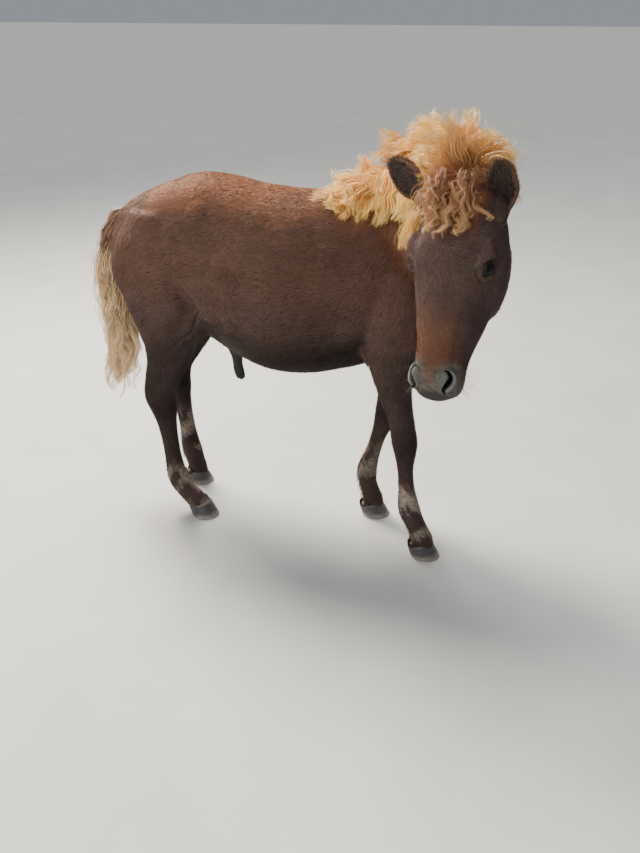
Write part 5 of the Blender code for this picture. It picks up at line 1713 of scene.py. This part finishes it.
def mixed(tree, share, one, two, kind="MIX"):
    """Two colours mixed by a share."""
    node = tree.nodes.new("ShaderNodeMix")
    node.data_type, node.blend_type = "RGBA", kind
    feed(tree, node.inputs[0], share)
    feed(tree, node.inputs[6], one)
    feed(tree, node.inputs[7], two)
    return node.outputs[2]


def shaded(tree, colour, light):
    """A colour made darker or lighter by a number."""
    grey = tree.nodes.new("ShaderNodeCombineColor")
    for socket in grey.inputs:
        tree.links.new(light, socket)
    return mixed(tree, 1.0, colour, grey.outputs[0], "MULTIPLY")


def number(tree, name):
    """The value that the mesh carries at each point by that name."""
    node = tree.nodes.new("ShaderNodeAttribute")
    node.attribute_name = name
    return node.outputs["Fac"]


def mottle(tree, scale, detail, on_unwrap=False):
    """Cloudy noise from 0 to 1, over space or the unwrap. The scale is one number or one for each axis."""
    if on_unwrap:
        where = tree.nodes.new("ShaderNodeUVMap")
        where.uv_map = "OFBake"
    else:
        where = tree.nodes.new("ShaderNodeNewGeometry")
    scaled = tree.nodes.new("ShaderNodeVectorMath")
    scaled.operation = "MULTIPLY"
    scaled.inputs[1].default_value = scale if isinstance(scale, tuple) else (scale, scale, scale)
    tree.links.new(where.outputs["UV" if on_unwrap else "Position"], scaled.inputs[0])
    node = tree.nodes.new("ShaderNodeTexNoise")
    node.inputs["Scale"].default_value = 1.0
    node.inputs["Detail"].default_value = detail
    node.inputs["Roughness"].default_value = 0.6
    tree.links.new(scaled.outputs[0], node.inputs["Vector"])
    return node.outputs["Fac"]


def spread(tree, value, low, high, to_low=0.0, to_high=1.0):
    """A value stretched from one range to another."""
    node = tree.nodes.new("ShaderNodeMapRange")
    for socket, given in zip(node.inputs, (value, low, high, to_low, to_high)):
        feed(tree, socket, given)
    return node.outputs[0]


def surface(tree, shader, colour, rough, height, strength, distance):
    """Leads colour, roughness and relief to the shader."""
    bump = tree.nodes.new("ShaderNodeBump")
    bump.inputs["Strength"].default_value = strength
    bump.inputs["Distance"].default_value = distance
    tree.links.new(height, bump.inputs["Height"])
    feed(tree, shader.inputs["Base Color"], colour)
    feed(tree, shader.inputs["Roughness"], rough)
    feed(tree, shader.inputs["Normal"], bump.outputs["Normal"])


def group(name, inputs, outputs):
    """A shader node group with its named sockets, and its two end nodes."""
    made = bpy.data.node_groups.new(name, "ShaderNodeTree")
    for label, kind, value in inputs:
        made.interface.new_socket(label, in_out="INPUT", socket_type=kind).default_value = value
    for label, kind in outputs:
        made.interface.new_socket(label, in_out="OUTPUT", socket_type=kind)
    return made, made.nodes.new("NodeGroupInput"), made.nodes.new("NodeGroupOutput")


def placed(tree, made, **values):
    """The group placed in a material, with that material's own values."""
    node = tree.nodes.new("ShaderNodeGroup")
    node.node_tree = made
    for label, value in values.items():
        feed(tree, node.inputs[label.replace("_", " ")], value)
    return node


def coat_colours():
    """The colt's coat colours, with painted light and shade, which its skin and its coat share."""
    made, given, result = group(
        "Coat markings and painted light",
        [("Shade", "NodeSocketFloat", 1.0), ("Variation", "NodeSocketFloat", 0.5)],
        [("Colour", "NodeSocketColor"), ("Bare", "NodeSocketFloat")],
    )
    clouds = mottle(made, 14, 4.0)
    streaks = mottle(made, (60, 60, 150), 3.0)
    chance = number(made, "chance")
    pick = plus(made, times(made, clouds, 0.75), times(made, chance, 0.25))
    colour = mixed(made, spread(made, pick, 0.30, 0.70), paint(78, 60, 54), paint(106, 84, 76))
    # painted light: the lighter reddish tone where light falls on the top of the body, the neck and the face
    lit = times(made, number(made, "bronze_and_painted_light"), spread(made, streaks, 0.25, 0.70, 0.60, 1.0))
    colour = mixed(made, lit, colour, paint(150, 96, 64))
    # darker: knees and feet, and painted shade under the belly and down the legs
    colour = mixed(made, number(made, "dark"), colour, paint(42, 33, 30))
    grey = mixed(made, spread(made, streaks, 0.35, 0.65), paint(86, 80, 71), paint(122, 114, 100))
    colour = mixed(made, number(made, "mealy"), colour, grey)
    speckle = spread(made, plus(made, streaks, times(made, chance, 0.25)), 0.42, 0.62, 0.45, 1.0)
    colour = mixed(made, times(made, number(made, "cream"), speckle), colour, paint(204, 188, 168))
    gold = mixed(made, chance, paint(168, 118, 78), paint(222, 172, 118))
    colour = mixed(made, number(made, "flaxen"), colour, gold)
    slate = mixed(made, clouds, paint(80, 79, 76), paint(110, 108, 102))
    colour = mixed(made, number(made, "bare"), colour, slate)
    # pale nostril rim, partly a painted highlight
    colour = mixed(made, number(made, "rim"), colour, paint(138, 138, 131))
    # near black: painted shade in the nostrils and along the mouth's line, and the darker skin of the lips
    colour = mixed(made, number(made, "recess_shade_and_lips"), colour, paint(15, 12, 13))
    vary = times(made, less(made, chance, 0.5), given.outputs["Variation"])
    tipped = times(made, less(made, number(made, "along"), 0.45), given.outputs["Variation"])
    light = plus(made, plus(made, given.outputs["Shade"], vary), tipped)
    made.links.new(shaded(made, colour, light), result.inputs["Colour"])
    made.links.new(number(made, "bare"), result.inputs["Bare"])
    return made


def strand_colours():
    """Long hair from its shaded root to its bleached tip, each curl a little different."""
    made, given, result = group(
        "Long hair",
        [(label, "NodeSocketColor", (0.1, 0.1, 0.1, 1)) for label in ("Root", "Middle", "Tip")],
        [("Colour", "NodeSocketColor"), ("Streak", "NodeSocketFloat")],
    )
    chance = number(made, "chance")
    patches = mottle(made, 16, 3.0)
    shifted = plus(made, number(made, "along"), times(made, less(made, patches, 0.5), 0.9))
    colour = mixed(made, spread(made, shifted, 0.02, 0.42), given.outputs["Root"], given.outputs["Middle"])
    colour = mixed(made, spread(made, shifted, 0.50, 1.05), colour, given.outputs["Tip"])
    ruddy = times(made, number(made, "ruddy"), spread(made, patches, 0.30, 0.60, 0.50, 0.95))
    colour = mixed(made, ruddy, colour, paint(172, 116, 84))
    light = spread(made, chance, 0.0, 1.0, 0.62, 1.22)
    made.links.new(shaded(made, colour, light), result.inputs["Colour"])
    made.links.new(chance, result.inputs["Streak"])
    return made


def material(name, **constants):
    made = bpy.data.materials.new(name)
    made.use_nodes = True
    shader = made.node_tree.nodes["Principled BSDF"]
    for label, value in constants.items():
        shader.inputs[label.replace("_", " ")].default_value = value
    return made, made.node_tree, shader


def coat_materials(markings_and_light_group):
    """The skin under the coat, and the coat's tufts."""
    skin, tree, shader = material("skin_and_underfur", Sheen_Weight=0.04, Sheen_Roughness=0.5,
                                  Sheen_Tint=(1.0, 0.74, 0.56, 1.0), Specular_IOR_Level=0.2)
    shared = placed(tree, markings_and_light_group, Shade=0.86, Variation=0.0)
    fur = mottle(tree, (900, 170, 1), 4.0, on_unwrap=True)
    pores = mottle(tree, 700, 2.0)
    colour = shaded(tree, shared.outputs["Colour"], spread(tree, fur, 0.30, 0.72, 0.62, 1.18))
    rough = less(tree, spread(tree, fur, 0.3, 0.7, 0.82, 0.66), times(tree, shared.outputs["Bare"], 0.28))
    surface(tree, shader, colour, rough, plus(tree, fur, times(tree, pores, 0.35)), 0.75, 0.0013)

    coat, tree, shader = material("short_coat", Sheen_Weight=0.05, Sheen_Roughness=0.45,
                                  Sheen_Tint=(1.0, 0.74, 0.56, 1.0), Specular_IOR_Level=0.12)
    shared = placed(tree, markings_and_light_group, Shade=1.0, Variation=0.18)
    grain = mottle(tree, 1400, 2.0)
    rough = spread(tree, grain, 0.3, 0.7, 0.50, 0.68)
    surface(tree, shader, shared.outputs["Colour"], rough, grain, 0.35, 0.0006)
    return skin, coat


def strand_material(name, strand_group, root, middle, tip, rough):
    made, tree, shader = material(name, Sheen_Weight=0.25, Sheen_Roughness=0.4,
                                  Sheen_Tint=(1.0, 0.76, 0.42, 1.0))
    shared = placed(tree, strand_group, Root=paint(*root), Middle=paint(*middle), Tip=paint(*tip))
    roughness = spread(tree, shared.outputs["Streak"], 0.0, 1.0, rough - 0.08, rough + 0.10)
    grain = mottle(tree, (1800, 1800, 500), 2.0)
    surface(tree, shader, shared.outputs["Colour"], roughness, grain, 0.3, 0.0004)
    return made


def ear_materials():
    """The ear's skin, dark in the cup, and its hair: back, edge and cup."""
    skin, tree, shader = material("ear_skin")
    cloud = mottle(tree, 160, 3.0)
    back = mixed(tree, cloud, paint(66, 42, 33), paint(104, 68, 50))
    hollow = mixed(tree, cloud, paint(26, 20, 20), paint(46, 34, 32))
    colour = mixed(tree, number(tree, "inside"), back, hollow)
    surface(tree, shader, colour, 0.7, mottle(tree, 900, 3.0), 0.5, 0.0008)
    hair, tree, shader = material("ear_hair", Sheen_Weight=0.1)
    chance = number(tree, "chance")
    colour = mixed(tree, chance, paint(78, 50, 38), paint(136, 88, 60))
    edge = mixed(tree, chance, paint(84, 56, 42), paint(136, 96, 70))
    colour = mixed(tree, number(tree, "fringe"), colour, edge)
    cup = mixed(tree, chance, paint(36, 27, 24), paint(96, 73, 60))
    colour = mixed(tree, number(tree, "inner"), colour, cup)
    tips = spread(tree, number(tree, "along"), 0.2, 1.0, 0.0, 0.12)
    colour = mixed(tree, tips, colour, paint(176, 132, 98))
    surface(tree, shader, colour, 0.6, mottle(tree, 1500, 2.0), 0.3, 0.0004)
    return skin, hair


def eye_material():
    """Near black at a glance: a brown iris with fine fibres round a long blue-black pupil."""
    made, tree, shader = material("wet_eye", Specular_IOR_Level=0.14, Coat_Weight=0.10, Coat_Roughness=0.02)
    away = number(tree, "iris")
    fibres = mottle(tree, 900, 3.0)
    iris = mixed(tree, fibres, paint(15, 14, 15), paint(31, 26, 24))
    colour = mixed(tree, spread(tree, away, 0.60, 0.70), iris, paint(16, 12, 12))
    colour = mixed(tree, spread(tree, away, 0.84, 0.96), colour, paint(52, 42, 38))
    colour = mixed(tree, spread(tree, number(tree, "pupil"), 1.12, 0.90), colour, paint(6, 8, 12))
    surface(tree, shader, colour, 0.05, fibres, 0.04, 0.0003)
    return made


def simple_material(name, dark, pale, grain, rough, rough_spread, depth):
    """Two tones in a cloudy grain, with matching roughness and bump."""
    made, tree, shader = material(name)
    cloud = mottle(tree, grain, 4.0)
    colour = mixed(tree, spread(tree, cloud, 0.3, 0.7), paint(*dark), paint(*pale))
    roughness = spread(tree, cloud, 0.3, 0.7, rough - rough_spread, rough + rough_spread)
    surface(tree, shader, colour, roughness, mottle(tree, grain * 5, 3.0), 0.5, depth)
    return made


def horn_material():
    """Slate hoof horn: rings of growth, a pale worn toe edge, dust and fine upright lines."""
    made, tree, shader = material("hoof_horn")
    height = number(tree, "height")
    cloud = mottle(tree, 70, 4.0)
    lines = mottle(tree, (900, 900, 40), 3.0)
    rings = mottle(tree, (8, 8, 420), 2.0)
    colour = mixed(tree, spread(tree, cloud, 0.3, 0.7), paint(47, 46, 48), paint(74, 72, 71))
    colour = mixed(tree, spread(tree, lines, 0.45, 0.75, 0.0, 0.35), colour, paint(122, 116, 108))
    worn = plus(tree, height, times(tree, less(tree, cloud, 0.5), 0.5))
    colour = mixed(tree, spread(tree, worn, 0.42, 0.10, 0.0, 0.85), colour, paint(150, 142, 130))
    colour = mixed(tree, spread(tree, height, 0.86, 0.97, 0.0, 0.7), colour, paint(104, 92, 84))
    relief = plus(tree, times(tree, rings, 0.8), times(tree, lines, 0.4))
    surface(tree, shader, colour, spread(tree, lines, 0.3, 0.7, 0.42, 0.62), relief, 0.6, 0.0009)
    return made


# Stage

# where the photo was taken from, in the body's axes, and how far it looks down and round, in degrees
CAMERA_PLACE, CAMERA_DOWN, CAMERA_TURN = (0.709, -1.871, 1.296), 27.0, 18.8


def floor():
    corners = [(-60, -60, 0), (60, -60, 0), (60, 60, 0), (-60, 60, 0)]
    obj = mesh_object("studio_floor", corners, [(0, 1, 2, 3)])
    pale = simple_material("pale_floor", (190, 189, 186), (200, 199, 196), 3, 0.85, 0.05, 0.0004)
    obj.data.materials.append(pale)


def area_light(name, place, target, size, power, colour):
    lamp = bpy.data.lights.new(name, "AREA")
    lamp.shape, lamp.size, lamp.energy, lamp.color = "DISK", size, power, colour
    obj = in_scene(name, lamp)
    obj.location = place
    obj.rotation_euler = (Vector(target) - Vector(place)).to_track_quat("-Z", "Y").to_euler()


def sun_light(name, tilt, spread_angle, power, colour):
    lamp = bpy.data.lights.new(name, "SUN")
    lamp.energy, lamp.angle, lamp.color = power, math.radians(spread_angle), colour
    in_scene(name, lamp).rotation_euler = [math.radians(angle) for angle in tilt]


def studio(shift):
    """Soft warm light from high behind, a broad cool one from the front, and the photo's camera."""
    world = bpy.data.worlds.new("studio_air")
    world.use_nodes = True
    air = world.node_tree.nodes["Background"].inputs
    air["Color"].default_value = (0.86, 0.91, 1.0, 1)
    air["Strength"].default_value = 0.34
    bpy.context.scene.world = world
    area_light("key", (-1.8, 1.1, 3.0), (0.05, 0.0, 0.7), 1.4, 350, (1.0, 0.93, 0.82))
    sun_light("sky", (-24, -16, 0), 25, 2.0, (1.0, 0.97, 0.92))
    area_light("fill", (-0.4, -3.4, 2.4), (0.1, 0.0, 0.7), 2.4, 59, (0.93, 0.98, 1.0))
    area_light("side", (-0.80, -0.85, 1.55), (0.42, -0.28, 0.72), 0.5, 10, (1.0, 0.92, 0.82))
    lens = bpy.data.cameras.new("photo_camera")
    lens.lens, lens.sensor_width, lens.sensor_fit = 35.0, 36.0, "AUTO"
    camera = in_scene("photo_camera", lens)
    camera.location = Vector(CAMERA_PLACE) + Vector(shift)
    camera.rotation_euler = (math.radians(90 - CAMERA_DOWN), 0.0, math.radians(CAMERA_TURN))
    bpy.context.scene.camera = camera


# The whole colt

def packed_shift():
    """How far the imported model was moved, read from where its left eye lies."""
    low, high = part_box("eye_left")
    return (np.array(low) + np.array(high)) / 2 - eye_centre(1)


def dress(obj, finish, slot, shift, *nodes):
    """Moves a piece into place, paints it and hides the imported parts that it stands for."""
    obj.data.transform(Matrix.Translation(Vector(shift)))
    obj.data.materials.clear()
    obj.data.materials.append(finish)
    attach(obj, "root")
    if nodes:
        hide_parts(*nodes)


# long hair: its colours at the root, the middle and the tip, and its roughness
HAIR_TONES = [
    ("mane_hair", (174, 118, 66), (246, 189, 106), (255, 223, 134), 0.50),
    ("forelock_hair", (104, 68, 48), (176, 124, 84), (250, 208, 140), 0.50),
    ("tail_hair", (168, 134, 100), (230, 198, 152), (244, 216, 172), 0.52),
    ("tail_root_hair", (92, 64, 50), (132, 98, 72), (196, 158, 118), 0.55),
]
# its pieces and seed, curls, strands and steps, roam, curl size and length, width, gather and reach
MANE_HAIR = (["mane_a", "mane_b", "mane_c"], 71, 12, 26, 13, 0.0095, 0.0044, 0.052, 0.0013, 0.32, 1.10)
FORELOCK_HAIR = (["forelock"], 72, 5, 34, 21, 0.0078, 0.0058, 0.034, 0.0010, 0.72, 1.10)
TAIL_HAIR = (["tail_a", "tail_b"], 73, 15, 28, 16, 0.0100, 0.0088, 0.085, 0.0016, 0.50, 1.0)
DOCK_HAIR = (["tail_head"], 74, 8, 16, 7, 0.0050, 0.0016, 0.050, 0.0015, 0.2, 1.0)


def main():
    shift = packed_shift()
    markings_and_light_group, strand_group = coat_colours(), strand_colours()
    skin_finish, coat_finish = coat_materials(markings_and_light_group)
    ear_finish, ear_hair_finish = ear_materials()
    eye_finish, horn_finish = eye_material(), horn_material()
    mane_finish, forelock_finish, tail_finish, tail_root_finish = (
        strand_material(name, strand_group, *tones) for name, *tones in HAIR_TONES)
    whisker_finish = simple_material("whisker", (112, 94, 78), (176, 156, 132), 300, 0.6, 0.1, 0.0002)
    lash_finish = simple_material("eyelash", (18, 14, 13), (46, 34, 28), 300, 0.5, 0.1, 0.0002)
    rim_finish = simple_material("eye_rim", (18, 15, 16), (40, 33, 33), 260, 0.26, 0.08, 0.0004)
    slate_finish = simple_material("slate_skin", (15, 14, 16), (34, 31, 33), 110, 0.68, 0.10, 0.0010)
    dock_finish = simple_material("dock_skin", (70, 46, 36), (96, 66, 50), 160, 0.7, 0.08, 0.0010)

    skin = whole_skin()
    shape_skin(skin)
    for key, value in markings_and_painted_light(points_of(skin), normals_of(skin)).items():
        point_values(skin, key, value)
    smooth_shaded(skin)
    for piece in coat_tufts(skin):
        dress(piece, coat_finish, "coat", shift)
    unwrap_skin(skin)
    dress(skin, skin_finish, "coat", shift, "torso", "neck", "head", "foreleg_left", "foreleg_right",
          "hindleg_left", "hindleg_right")

    for piece in long_hair(mane_paths(), *MANE_HAIR):
        dress(piece, mane_finish, "flaxen_hair", shift)
    for piece in long_hair(forelock_paths(), *FORELOCK_HAIR):
        dress(piece, forelock_finish, "flaxen_hair", shift)
    for piece, nodes in zip(long_hair(tail_paths(), *TAIL_HAIR), (("tail",), ())):
        dress(piece, tail_finish, "flaxen_hair", shift, *nodes)
    for piece in long_hair(dock_paths(), *DOCK_HAIR):
        dress(piece, tail_root_finish, "flaxen_hair", shift)
    dress(dock(), dock_finish, "flaxen_hair", shift)

    for side, word in ((-1, "right"), (1, "left")):
        dress(eyeball("round_eye_" + word, side), eye_finish, "eye", shift, "eye_" + word)
        dress(eye_rim("lid_edge_" + word, side), rim_finish, "dark_skin", shift)
        dress(lashes("lashes_" + word, side), lash_finish, "dark_skin", shift)
        dress(ear("cupped_ear_" + word, side), ear_finish, "coat", shift, "ear_" + word)
        dress(ear_hair("ear_fur_" + word, side), ear_hair_finish, "coat", shift)
    dress(whiskers(), whisker_finish, "flaxen_hair", shift)
    for name in HOOVES:
        dress(hoof(name), horn_finish, "hoof_horn", shift, "hoof_" + name)
    dress(coronet_hair(), coat_finish, "coat", shift)
    dress(sheath(), slate_finish, "dark_skin", shift, "sheath")

    floor()
    studio(shift)


main()
